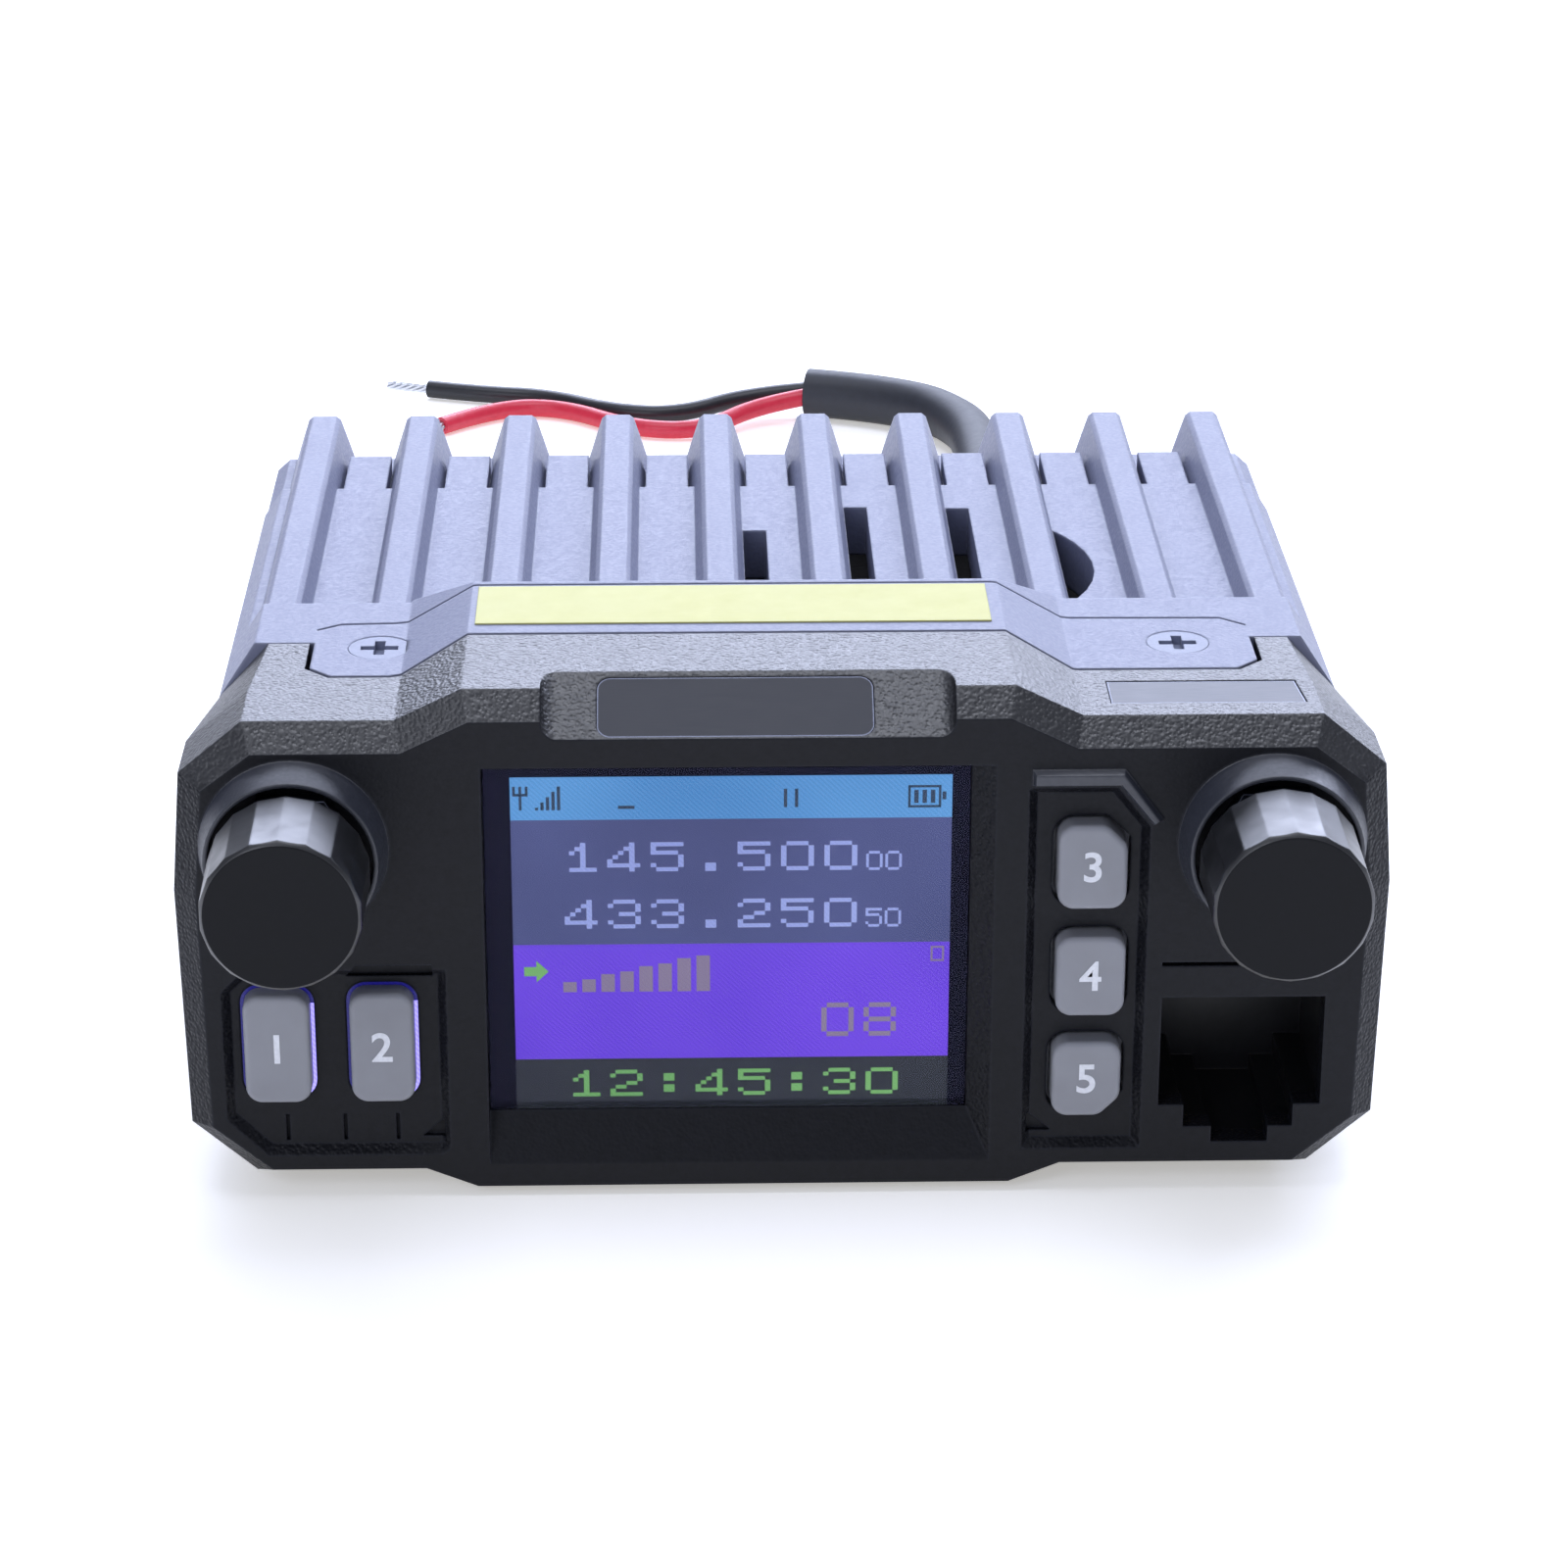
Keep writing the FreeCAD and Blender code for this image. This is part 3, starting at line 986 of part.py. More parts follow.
# ---------------------------------------------------------------- fan
def build_fan():
    x, z = "fan_x", "fan_z"
    back = "body_back - case_wall - 0.05"
    front = f"{back} - fan_deep"
    half = "fan_side/2"
    square = box(f"{x} - {half}", f"{x} + {half}", front, back, f"{z} - {half}", f"{z} + {half}")
    corners = [rod(f"{x} + {dx}*fan_screw", f"{front} - 0.1", f"{z} + {dz}*fan_screw",
                   "1.25", "fan_deep + 0.2")
               for dx in (-1, 1) for dz in (-1, 1)]
    shell = cut(square, rod(x, f"{front} - 0.1", z, "fan_bore", "fan_deep + 0.2"), *corners)
    hub_plate = rod(x, front, z, "5.8", "0.8")
    struts = []
    for angle in (30, 150, 270):
        strut = doc.addObject("Part::Box", "strut")
        bind(strut, "Length", "fan_bore - 5 + 0.6")
        strut.Width, strut.Height = 0.8, 1.4
        turn = FreeCAD.Rotation(BACK, -angle)
        spot = turn.multVec(FreeCAD.Vector(5, 0, -0.7))
        strut.Placement = FreeCAD.Placement(spot, turn)
        bind(strut, "Placement.Base.x", f"{x} + {spot.x:.5f}")
        bind(strut, "Placement.Base.y", front)
        bind(strut, "Placement.Base.z", f"{z} + {spot.z:.5f}")
        struts.append(strut)
    pin = rod(x, f"{front} + 0.5", z, "1.0", "4.3")
    sub_part(fuse(shell, hub_plate, pin, *struts), "fan_frame")

    hub = cut(rod(x, f"{front} + 1.0", z, "6.5", "fan_deep - 1.5"),
              rod(x, f"{front} + 0.9", z, "1.0 + running", "4.4"))
    blades = []
    count, pitch_angle = 7, 38
    for k in range(count):
        blade = doc.addObject("Part::Box", "blade")
        blade.Length, blade.Width, blade.Height = 7.2, 0.7, 7.4
        spin = FreeCAD.Rotation(BACK, -360 * k / count)
        pitch = FreeCAD.Rotation(RIGHT, 90 - pitch_angle)
        turn = spin.multiply(pitch)
        spot = spin.multVec(FreeCAD.Vector(6.1, 0, 0)) - turn.multVec(FreeCAD.Vector(0, 0.35, 3.7))
        blade.Placement = FreeCAD.Placement(spot, turn)
        bind(blade, "Placement.Base.x", f"{x} + {spot.x:.5f}")
        bind(blade, "Placement.Base.y", f"{front} + fan_deep/2 + 0.25 + {spot.y:.5f}")
        bind(blade, "Placement.Base.z", f"{z} + {spot.z:.5f}")
        blades.append(blade)
    sub_part(fuse(hub, *blades), "fan_rotor")

    wire, seat = "0.55", "body_back + 0.57"
    guard = [ring(x, seat, z, radius, wire) for radius in ("3.4", "6.9", "10.4", "fan_bore - 0.1")]
    for angle in (45, 135):
        spoke = doc.addObject("Part::Cylinder", "spoke")
        bind(spoke, "Radius", wire)
        reach = "(fan_screw*sqrt(2) - 2.3)"
        bind(spoke, "Height", f"2*{reach}")
        turn = FreeCAD.Rotation(BACK, angle)
        spoke.Placement = FreeCAD.Placement(FreeCAD.Vector(), turn)
        run = turn.multVec(UP)
        bind(spoke, "Placement.Base.x", f"{x} - {reach}*({run.x:.6f})")
        bind(spoke, "Placement.Base.y", seat)
        bind(spoke, "Placement.Base.z", f"{z} - {reach}*({run.z:.6f})")
        guard.append(spoke)
    eyes = [ring(f"{x} + {dx}*fan_screw", seat, f"{z} + {dz}*fan_screw", "2.1", wire)
            for dx in (-1, 1) for dz in (-1, 1)]
    sub_part(fuse(*guard, *eyes), "fan_guard")
    sub_part(group(*[
        screw(f"{x} + {dx}*fan_screw", "body_back + 1.16", f"{z} + {dz}*fan_screw", "2.6", "1.2",
              "case_wall + fan_deep - 0.5", "front")
        for dx in (-1, 1) for dz in (-1, 1)
    ]), "fan_screws")


# ---------------------------------------------------------------- sockets and lead
def build_rear_sockets():
    x, z = "antenna_x", "antenna_z"
    wall_in, wall_out = "body_back - case_wall", "body_back"
    shell = cut(
        fuse(rod(x, f"{wall_in} - 3.5", z, "6.4", "case_wall + 4"),
             rod(x, f"{wall_out} + 0.02", z, "9.4", "2.2"),
             rod(x, f"{wall_out} + 2", z, "antenna_radius", "antenna_out - 2")),
        rod(x, f"{wall_out} + antenna_out - 11", z, "6.35", "11.1"),
        rod(x, f"{wall_in} - 3.6", z, "2.6", "20"))
    sub_part(shell, "antenna_socket")
    insulator = cut(rod(x, f"{wall_out} + antenna_out - 10.98", z, "6.3", "9.2"),
                    rod(x, f"{wall_out} + 2", z, "2.65", "20"))
    sub_part(insulator, "antenna_insulator")
    sleeve = cut(
        fuse(rod(x, f"{wall_in} - 5.5", z, "1.2", "6"),
             rod(x, f"{wall_in} + 0.2", z, "2.55", "case_wall + antenna_out - 1.6")),
        rod(x, f"{wall_out} + antenna_out - 9", z, "2.05", "8"),
        box(f"{x} - 3", f"{x} + 3", f"{wall_out} + antenna_out - 8", f"{wall_out} + antenna_out",
            f"{z} - 0.2", f"{z} + 0.2"),
        box(f"{x} - 0.2", f"{x} + 0.2", f"{wall_out} + antenna_out - 8", f"{wall_out} + antenna_out",
            f"{z} - 3", f"{z} + 3"))
    sub_part(sleeve, "antenna_contact")
    sub_part(cut(hexagon(x, f"{wall_in} - 2.3", z, "17", "2.25"),
                 rod(x, f"{wall_in} - 2.4", z, "6.45", "2.5")),
             "antenna_nut")

    x, z = "phone_x", "phone_z"
    jack = cut(
        fuse(box(f"{x} - 4", f"{x} + 4", f"{wall_in} - 11", f"{wall_in} - 0.05", f"{z} - 4", f"{z} + 4"),
             rod(x, f"{wall_in} - 0.5", z, "3.0", "case_wall + 0.5 + phone_out")),
        rod(x, f"{wall_in} - 9.5", z, "phone_bore", "case_wall + phone_out + 9.6"))
    sub_part(jack, "phone_jack")
    sub_part(cut(cut(rod(x, f"{wall_out} + 0.02", z, "4.3", "1.6"),
                     rod(x, f"{wall_out} - 0.1", z, "3.02", "2")),
                 box(f"{x} - 5", f"{x} + 5", f"{wall_out} + 0.9", f"{wall_out} + 2",
                     f"{z} - 0.45", f"{z} + 0.45")),
             "phone_jack_nut")

    x, z = "cable_x", "cable_z"
    boot = fuse(
        rod(x, f"{wall_in} - 1.6", z, "5.6", "1.55"), rod(x, f"{wall_in} - 0.2", z, "4.5", "case_wall + 0.4"),
        rod(x, f"{wall_out} + 0.02", z, "6.2", "1.6"),
        cone(x, f"{wall_out} + 1.6", z, "5.0", "cable_radius + 0.7", "boot_long - 1.6"))
    sub_part(boot, "lead_grommet")
    sub_part(group(*[
        rod(f"{x} + {dx}", "62", f"main_board_z + board_thick + wire_radius", "wire_radius",
            f"{wall_in} - 1.65 - 62")
        for dx in (-1.5, 1.5)
    ]), "inner_leads")


def wire_path(points):
    """Straight runs joined by tangent arcs as large as the two runs allow, and their radii."""
    bends, radii = [], []
    for before, corner, after in zip(points, points[1:], points[2:]):
        back, ahead = before - corner, after - corner
        turn = math.pi - back.getAngle(ahead)
        radius = 0.45 * min(back.Length, ahead.Length) / math.tan(turn / 2)
        reach = radius * math.tan(turn / 2)
        start, end = corner + back.normalize() * reach, corner + ahead.normalize() * reach
        inward = (start + end) * 0.5 - corner
        middle = corner + inward.normalize() * (radius / math.cos(turn / 2) - radius)
        bends.append((start, middle, end))
        radii.append(radius)
    edges, last = [], points[0]
    for start, middle, end in bends:
        edges.append(Part.LineSegment(last, start).toShape())
        edges.append(Part.Arc(start, middle, end).toShape())
        last = end
    edges.append(Part.LineSegment(last, points[-1]).toShape())
    return Part.Wire(edges), radii


def cord(name, radius, points):
    route = [FreeCAD.Vector(*point) for point in points]
    path, radii = wire_path(route)
    heading = (route[1] - route[0]).normalize()
    section = Part.Wire([Part.Circle(route[0], heading, radius).toShape()])
    tube = path.makePipeShell([section], True, False)
    print(f"{name}: length {path.Length:.1f} mm, volume ratio "
          f"{tube.Volume / (math.pi * radius ** 2 * path.Length):.4f}, radii {[round(r, 1) for r in radii]}")
    piece = doc.addObject("Part::Feature", name)
    piece.Shape = tube
    sub_part(piece, name)


def build_lead():
    """The direct-current lead: a jacket from the grommet, then a red and a black wire with tinned ends."""
    exit_y = size("body_back") + size("boot_long")
    x, z = size("cable_x"), size("cable_z")
    floor = size("cable_radius") + 0.1
    cord("lead_jacket", size("cable_radius"), [
        (x, exit_y, z), (x, exit_y + 14, z), (18.6, 128, 4.6), (23.5, 148, floor), (29.4, 166, floor),
        (30.2, 180, floor), (29.0, 193, floor), (20.6, 203, floor), (8.1, 206.3, floor),
    ])
    wire = size("wire_radius")
    low = wire + 0.1
    routes = {
        "red_wire": [
            (8.6, 204.9, floor), (1.6, 203.9, 2.2), (-5.0, 196.9, low), (-14, 198.0, low),
            (-22.5, 206.5, low), (-31, 206.5, low), (-37.5, 199.5, low),
        ],
        "black_wire": [
            (9.2, 207.3, floor), (0.8, 208.3, 2.2), (-8.0, 203.2, low), (-16.2, 204.5, low),
            (-24.5, 210.9, low), (-33, 212.2, low), (-39.8, 214.6, low),
        ],
    }
    tips = []
    for name, route in routes.items():
        cord(name, wire, route)
        before, end = (FreeCAD.Vector(*point) for point in route[-2:])
        tips.append(Part.makeCylinder(0.65 * wire, 5 * wire, end, end - before))
    piece = doc.addObject("Part::Feature", "wire_tips")
    piece.Shape = Part.makeCompound(tips)
    sub_part(piece, "wire_tips")


build_panel()
build_case()
build_cover()
build_knob("volume", -1, "potentiometer")
build_knob("channel", 1, "encoder")
build_keys()
build_display()
build_mic_socket()
build_main_board()
build_speaker()
build_fan()
build_rear_sockets()
build_lead()

doc.recompute()
faults = [f"{item.Label} {item.State}" for item in doc.Objects if set(item.State) & {"Invalid", "Error"}]
for item in sub_parts:
    if item.Shape.isNull() or not item.Shape.isValid() or not item.Shape.Solids:
        faults.append(f"{item.Label} has no valid solid")
if faults:
    raise RuntimeError("; ".join(faults))
os.makedirs("parts", exist_ok=True)
for item in sub_parts:
    item.Shape.exportStep(f"parts/{item.Label}.step")
    print(f"{item.Label}: {len(item.Shape.Solids)} solid(s), {item.Shape.Volume:.1f} mm3")
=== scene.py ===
# %% [markdown]
# # A vehicle radio set, dressed in Blender
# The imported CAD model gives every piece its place. This lesson adds what the eye reads next: paint, moulded
# grain, gloss, a lit display, screw threads and the soft line of the power lead. Every length is in metres,
# in the CAD frame: +X to the right seen from the front, +Y to the rear, +Z up.

# %% Load the frame
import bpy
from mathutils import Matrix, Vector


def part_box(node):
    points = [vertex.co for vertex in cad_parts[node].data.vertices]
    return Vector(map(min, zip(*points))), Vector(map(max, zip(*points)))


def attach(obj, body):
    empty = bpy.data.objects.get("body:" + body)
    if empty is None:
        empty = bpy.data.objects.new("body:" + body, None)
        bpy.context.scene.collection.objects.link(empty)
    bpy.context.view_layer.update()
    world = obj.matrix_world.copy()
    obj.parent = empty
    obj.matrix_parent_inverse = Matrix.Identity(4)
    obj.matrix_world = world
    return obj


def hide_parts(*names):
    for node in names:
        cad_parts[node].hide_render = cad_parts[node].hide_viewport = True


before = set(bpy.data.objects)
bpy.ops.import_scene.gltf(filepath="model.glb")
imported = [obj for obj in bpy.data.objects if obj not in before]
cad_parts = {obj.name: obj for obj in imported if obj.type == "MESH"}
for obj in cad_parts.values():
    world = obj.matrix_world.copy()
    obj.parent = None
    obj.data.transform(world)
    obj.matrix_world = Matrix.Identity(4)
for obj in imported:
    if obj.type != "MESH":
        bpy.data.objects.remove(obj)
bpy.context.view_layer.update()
print("pieces from the CAD model:", len(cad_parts))

# %% Modules and units
import math

import bmesh
import bpy
from mathutils import Matrix, Vector

MM = 0.001
scene = bpy.context.scene
scene.view_settings.view_transform = "Standard"

# %% [markdown]
# ## Camera
# The camera is set first, because the lead is laid to suit what it sees. It stands in front of the set and
# a little left of its middle, about 23 degrees above the level, with a long lens, as a product table is
# usually shot. Its axes are written out as three arrows, so no turn has to be worked out by hand.

# %% Place the camera
eye = Vector((-8.288, -364.014, 172.079)) * MM
look = Vector((0.02360, 0.92145, -0.38779)).normalized()
roll = math.radians(0.13)
level = look.cross(Vector((0, 0, 1))).normalized()
upright = level.cross(look)
right = level * math.cos(roll) + upright * math.sin(roll)
up = right.cross(look)
camera_data = bpy.data.cameras.new("table_camera")
camera_data.sensor_width = 36
camera_data.lens = 101.08
camera_data.clip_start = 0.01
camera_data.clip_end = 50
camera = bpy.data.objects.new("table_camera", camera_data)
scene.collection.objects.link(camera)
camera.matrix_world = Matrix((
    (right.x, up.x, -look.x, eye.x), (right.y, up.y, -look.y, eye.y), (right.z, up.z, -look.z, eye.z),
    (0, 0, 0, 1),
))
scene.camera = camera
print("camera height in mm:", round(eye.z / MM, 1))

# %% [markdown]
# ## The power lead
# A round rubber jacket leaves the grommet in the rear wall, drops to the table and curls behind the fins.
# Where it ends, two thin wires come out, a red and a black one, and lie in loose waves with their tinned
# ends bare. A lead is a length of something flexible, so each one is a single smooth NURBS curve with a
# round section.

# %% A curve for each lead
def lay_lead(name, points_mm, radius_mm):
    """A round lead on one smooth spline whose control points are the route's points."""
    data = bpy.data.curves.new(name, "CURVE")
    data.dimensions = "3D"
    data.bevel_depth = radius_mm * MM
    data.bevel_resolution = 6
    data.resolution_u = 12
    data.use_fill_caps = True
    spline = data.splines.new("NURBS")
    spline.points.add(len(points_mm) - 1)
    for point, place in zip(spline.points, points_mm):
        point.co = (*[value * MM for value in place], 1)
    spline.order_u = 3
    spline.use_endpoint_u = True
    lead = bpy.data.objects.new(name, data)
    scene.collection.objects.link(lead)
    centre = data.copy()
    centre.bevel_depth = 0
    probe = bpy.data.objects.new(name + "_centre", centre)
    scene.collection.objects.link(probe)
    bpy.context.view_layer.update()
    line = bpy.data.meshes.new_from_object(probe.evaluated_get(bpy.context.evaluated_depsgraph_get()))
    places = [vertex.co.copy() for vertex in line.vertices]
    length = sum((b - a).length for a, b in zip(places, places[1:]))
    bpy.data.objects.remove(probe)
    print(name, "is", round(length / MM, 1), "mm long")
    return lead, length


# %% Lay the jacket and the two wires
JACKET_RADIUS = 3.0
WIRE_RADIUS = 1.1
rear_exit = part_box("lead_grommet")[1].y / MM
jacket_route = [
    (18, rear_exit, 12), (18, rear_exit + 14, 12), (18.6, 85.85, 4.6), (22.6, 105.85, 3.1),
    (27.6, 123.85, 3.1), (28.2, 137.85, 3.1), (27.4, 150.85, 3.1), (20.2, 160.85, 3.1), (8.1, 164.15, 3.1),
]
red_route = [
    (8.6, 162.75, 3.1), (1.6, 161.75, 2.2), (-5.0, 154.75, 1.2), (-14, 155.85, 1.2), (-22.5, 164.35, 1.2),
    (-31, 164.35, 1.2), (-37.5, 157.35, 1.2),
]
black_route = [
    (9.2, 165.15, 3.1), (0.8, 166.15, 2.2), (-8.0, 161.05, 1.2), (-16.2, 162.35, 1.2), (-24.5, 168.75, 1.2),
    (-33, 170.05, 1.2), (-39.8, 172.45, 1.2),
]
jacket, jacket_length = lay_lead("power_lead", jacket_route, JACKET_RADIUS)
red_lead, red_length = lay_lead("red_lead", red_route, WIRE_RADIUS)
black_lead, black_length = lay_lead("black_lead", black_route, WIRE_RADIUS)

# %% [markdown]
# ## Stage and light
# The set stands on a plain white table in a white room that is bright near the floor and dim overhead. A
# long soft box low behind it does most of the work: it grazes the flat tops, so paint and grain there look
# bright, while the flanks of the fins and the black front stay dark. A strip above it catches the collars
# and bevels, and small boxes overhead and in front keep detail in the shade. The table is a translucent
# white sheet lit from below, as product tables are, so it gives a little light of its own and the shadows
# on it are faint.

# %% Colour and node helpers
def linear(code, alpha=1.0):
    """An sRGB colour, written as six hex digits, as the linear colour that shaders want."""
    channels = [int(code[place:place + 2], 16) / 255 for place in (0, 2, 4)]
    return (*[c / 12.92 if c <= 0.04045 else ((c + 0.055) / 1.055) ** 2.4 for c in channels], alpha)


def add_node(tree, kind, inputs=None, **settings):
    """Adds one node with its settings; an input is a value or another node's output."""
    node = tree.nodes.new(kind)
    for name, value in settings.items():
        setattr(node, name, value)
    for socket, value in (inputs or {}).items():
        if isinstance(value, bpy.types.NodeSocket):
            tree.links.new(value, node.inputs[socket])
        else:
            node.inputs[socket].default_value = value
    return node


print("middle grey 808080 is", round(linear("808080")[0], 3), "in linear light")

# %% Table, world and lamps
table_mesh = bpy.data.meshes.new("table")
table_mesh.from_pydata([(-4, -4, 0), (4, -4, 0), (4, 4, 0), (-4, 4, 0)], [], [(0, 1, 2, 3)])
table = bpy.data.objects.new("table", table_mesh)
scene.collection.objects.link(table)
table.location.z = -0.02 * MM
table_paint = bpy.data.materials.new("matt white table")
table_paint.use_nodes = True
table_shader = table_paint.node_tree.nodes["Principled BSDF"]
table_shader.inputs["Base Color"].default_value = linear("f4f5f8")
table_shader.inputs["Roughness"].default_value = 0.75
table_shader.inputs["Emission Color"].default_value = linear("fffdf8")
table_shader.inputs["Emission Strength"].default_value = 0.42
table_mesh.materials.append(table_paint)

world = bpy.data.worlds.new("white room")
world.use_nodes = True
sky = world.node_tree
sky_place = add_node(sky, "ShaderNodeTexCoord")
sky_height = add_node(sky, "ShaderNodeSeparateXYZ", {0: sky_place.outputs["Generated"]})
sky_fade = add_node(sky, "ShaderNodeMapRange", {
    "Value": sky_height.outputs["Z"], "From Min": 0.02, "From Max": 0.20, "To Min": 1.0, "To Max": 0.34,
})
sky.nodes["Background"].inputs["Color"].default_value = linear("e6ecff")
sky.links.new(sky_fade.outputs[0], sky.nodes["Background"].inputs["Strength"])
scene.world = world


def soft_light(name, place, target, size, power, tint):
    """A rectangular soft box that faces its target."""
    data = bpy.data.lights.new(name, "AREA")
    data.shape = "RECTANGLE"
    data.size, data.size_y = size
    data.energy = power
    data.color = linear(tint)[:3]
    lamp = bpy.data.objects.new(name, data)
    scene.collection.objects.link(lamp)
    lamp.location = place
    lamp.rotation_euler = (Vector(target) - Vector(place)).to_track_quat("-Z", "Y").to_euler()
    return lamp


soft_light("rear_softbox", (0.25, 1.0, 0.50), (0, 0.02, 0.03), (1.5, 0.46), 17.4, "dde5ff")
soft_light("strip_light", (0.05, 0.66, 0.72), (0, 0.0, 0.03), (1.3, 0.14), 3.2, "dde5ff")
soft_light("overhead_softbox", (0.0, 0.02, 0.95), (0, 0.0, 0), (0.8, 0.5), 4.6, "eef2ff")
soft_light("front_softbox", (-0.45, -0.8, 0.6), (0, -0.05, 0.02), (0.4, 0.4), 2.2, "eef2ff")

# %% [markdown]
# ## Helpers for finishes
# A CAD edge is perfectly sharp, and no real edge is. The Bevel node rounds it in the shading only, so the
# shape stays as it was built. The same node tells where the edges are, which is where handling polishes
# paint and plastic.

# %% Start a material, find its edges, give it grain
def start_material(name):
    """A new material, its tree, its shader and the object coordinates that its patterns read."""
    material = bpy.data.materials.new(name)
    material.use_nodes = True
    tree = material.node_tree
    place = add_node(tree, "ShaderNodeTexCoord")
    return material, tree, tree.nodes["Principled BSDF"], place.outputs["Object"]


def edge_mask(tree, width_mm):
    """1 along convex and concave edges, 0 on open faces."""
    round_normal = add_node(tree, "ShaderNodeBevel", {"Radius": width_mm * MM}, samples=6)
    flat_normal = add_node(tree, "ShaderNodeNewGeometry")
    cosine = add_node(tree, "ShaderNodeVectorMath", {
        0: round_normal.outputs[0], 1: flat_normal.outputs["Normal"],
    }, operation="DOT_PRODUCT")
    return add_node(tree, "ShaderNodeMapRange", {
        "Value": cosine.outputs["Value"], "From Min": 0.995, "From Max": 0.90, "To Min": 0.0, "To Max": 1.0,
    }).outputs[0]


def add_grain(tree, shader, coords, grain_mm, height_mm, soft_mm, detail=2.0):
    """Rounded edges in the shading and a fine moulded or painted grain; returns the grain's height."""
    soft = add_node(tree, "ShaderNodeBevel", {"Radius": soft_mm * MM}, samples=6)
    grain = add_node(tree, "ShaderNodeTexNoise", {
        "Vector": coords, "Scale": 1 / (grain_mm * MM), "Detail": detail, "Roughness": 0.55,
    })
    bump = add_node(tree, "ShaderNodeBump", {
        "Strength": 1.0, "Distance": height_mm * MM, "Height": grain.outputs[0], "Normal": soft.outputs[0],
    })
    tree.links.new(bump.outputs[0], shader.inputs["Normal"])
    return grain.outputs[0]


def dress(material, *names):
    """Gives CAD pieces this material in place of their plain one."""
    for name in names:
        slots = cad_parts[name].data.materials
        slots.clear()
        slots.append(material)


print("helpers ready")

# %% [markdown]
# ## Painted die-cast aluminium
# The case is cast aluminium under a satin grey paint. Casting and paint leave a skin of fine pits about a
# third of a millimetre apart. The edges of the fins are a little brighter, partly rubbed paint and partly a
# painted highlight where their rounding catches the light. The grain is bump, the brighter edges are colour.

# %% Case paint
case_paint, tree, shader, coords = start_material("satin grey paint on die-cast aluminium")
PAINT_GRAIN_MM = 0.35
grain = add_grain(tree, shader, coords, PAINT_GRAIN_MM, 0.035, 0.35)
cloud = add_node(tree, "ShaderNodeTexNoise", {"Vector": coords, "Scale": 1 / (14 * MM), "Detail": 3.0})
tone = add_node(tree, "ShaderNodeMix", {
    0: cloud.outputs[0], 6: linear("777b93"), 7: linear("82869d"),
}, data_type="RGBA")
# Lighter edges: partly rubbed paint, partly a painted highlight where the rounded edge catches light.
edge_brightening = add_node(tree, "ShaderNodeMath", {0: edge_mask(tree, 0.45), 1: 0.35}, operation="MULTIPLY")
edge_brightened = add_node(tree, "ShaderNodeMix", {
    0: edge_brightening.outputs[0], 6: tone.outputs[2], 7: linear("a3a8bc"),
}, data_type="RGBA")
fleck = add_node(tree, "ShaderNodeMapRange", {
    "Value": grain, "From Min": 0.3, "From Max": 0.7, "To Min": 0.36, "To Max": 0.56,
})
tree.links.new(edge_brightened.outputs[2], shader.inputs["Base Color"])
tree.links.new(fleck.outputs[0], shader.inputs["Roughness"])
shader.inputs["IOR"].default_value = 1.5
shader.inputs["Metallic"].default_value = 0.0
shader.inputs["Specular IOR Level"].default_value = 0.25
shader.inputs["Coat Weight"].default_value = 0.03
shader.inputs["Coat Roughness"].default_value = 0.3
dress(case_paint, "heatsink_case", "bottom_cover")
print("case paint on:", ["heatsink_case", "bottom_cover"])

# %% [markdown]
# ## Spark-textured ABS
# The front is one black ABS moulding. Its mould was spark-eroded, so tops and bevels have a coarse grain of
# about a third of a millimetre that glitters under the lamp, while the front face and the collars round the
# knobs were polished. The coarse grain is therefore faded out where a face looks to the front, and on
# whatever stands proud of the front. What stands proud, the collars round the knobs, is also given a lighter
# black than the front face: a painted highlight for the light that their glossy tops catch.

# %% Front panel plastic
panel_plastic, tree, shader, coords = start_material("spark-textured black ABS")
SPARK_GRAIN_MM = 0.3
COLLAR_TALL_MM = 3.2
FACE_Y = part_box("front_panel")[0].y + COLLAR_TALL_MM * MM
facing = add_node(tree, "ShaderNodeSeparateXYZ", {0: tree.nodes["Texture Coordinate"].outputs["Normal"]})
spot = add_node(tree, "ShaderNodeSeparateXYZ", {0: coords})
PROUD_FROM, PROUD_TO = FACE_Y - 0.15 * MM, FACE_Y - 0.02 * MM
front_share = add_node(tree, "ShaderNodeMapRange", {
    "Value": facing.outputs["Y"], "From Min": -0.97, "From Max": -0.80, "To Min": 0.12, "To Max": 1.0,
})
soft = add_node(tree, "ShaderNodeBevel", {"Radius": 0.3 * MM}, samples=6)
pits = add_node(tree, "ShaderNodeTexVoronoi", {
    "Vector": coords, "Scale": 1 / (SPARK_GRAIN_MM * MM), "Randomness": 1.0,
}, feature="SMOOTH_F1")
mist = add_node(tree, "ShaderNodeTexNoise", {"Vector": coords, "Scale": 1 / (0.9 * MM), "Detail": 4.0})
skin = add_node(tree, "ShaderNodeMath", {0: pits.outputs["Distance"], 1: mist.outputs[0]}, operation="ADD")
behind_face = add_node(tree, "ShaderNodeMapRange", {
    "Value": spot.outputs["Y"], "From Min": PROUD_FROM, "From Max": PROUD_TO, "To Min": 0.1, "To Max": 1.0,
})
coarse = add_node(tree, "ShaderNodeMath", {0: front_share.outputs[0], 1: behind_face.outputs[0]},
                  operation="MULTIPLY")
lift = add_node(tree, "ShaderNodeMath", {0: skin.outputs[0], 1: coarse.outputs[0]}, operation="MULTIPLY")
bump = add_node(tree, "ShaderNodeBump", {
    "Strength": 1.0, "Distance": 0.10 * MM, "Height": lift.outputs[0], "Normal": soft.outputs[0],
})
tree.links.new(bump.outputs[0], shader.inputs["Normal"])
print("spark grain in mm:", SPARK_GRAIN_MM)

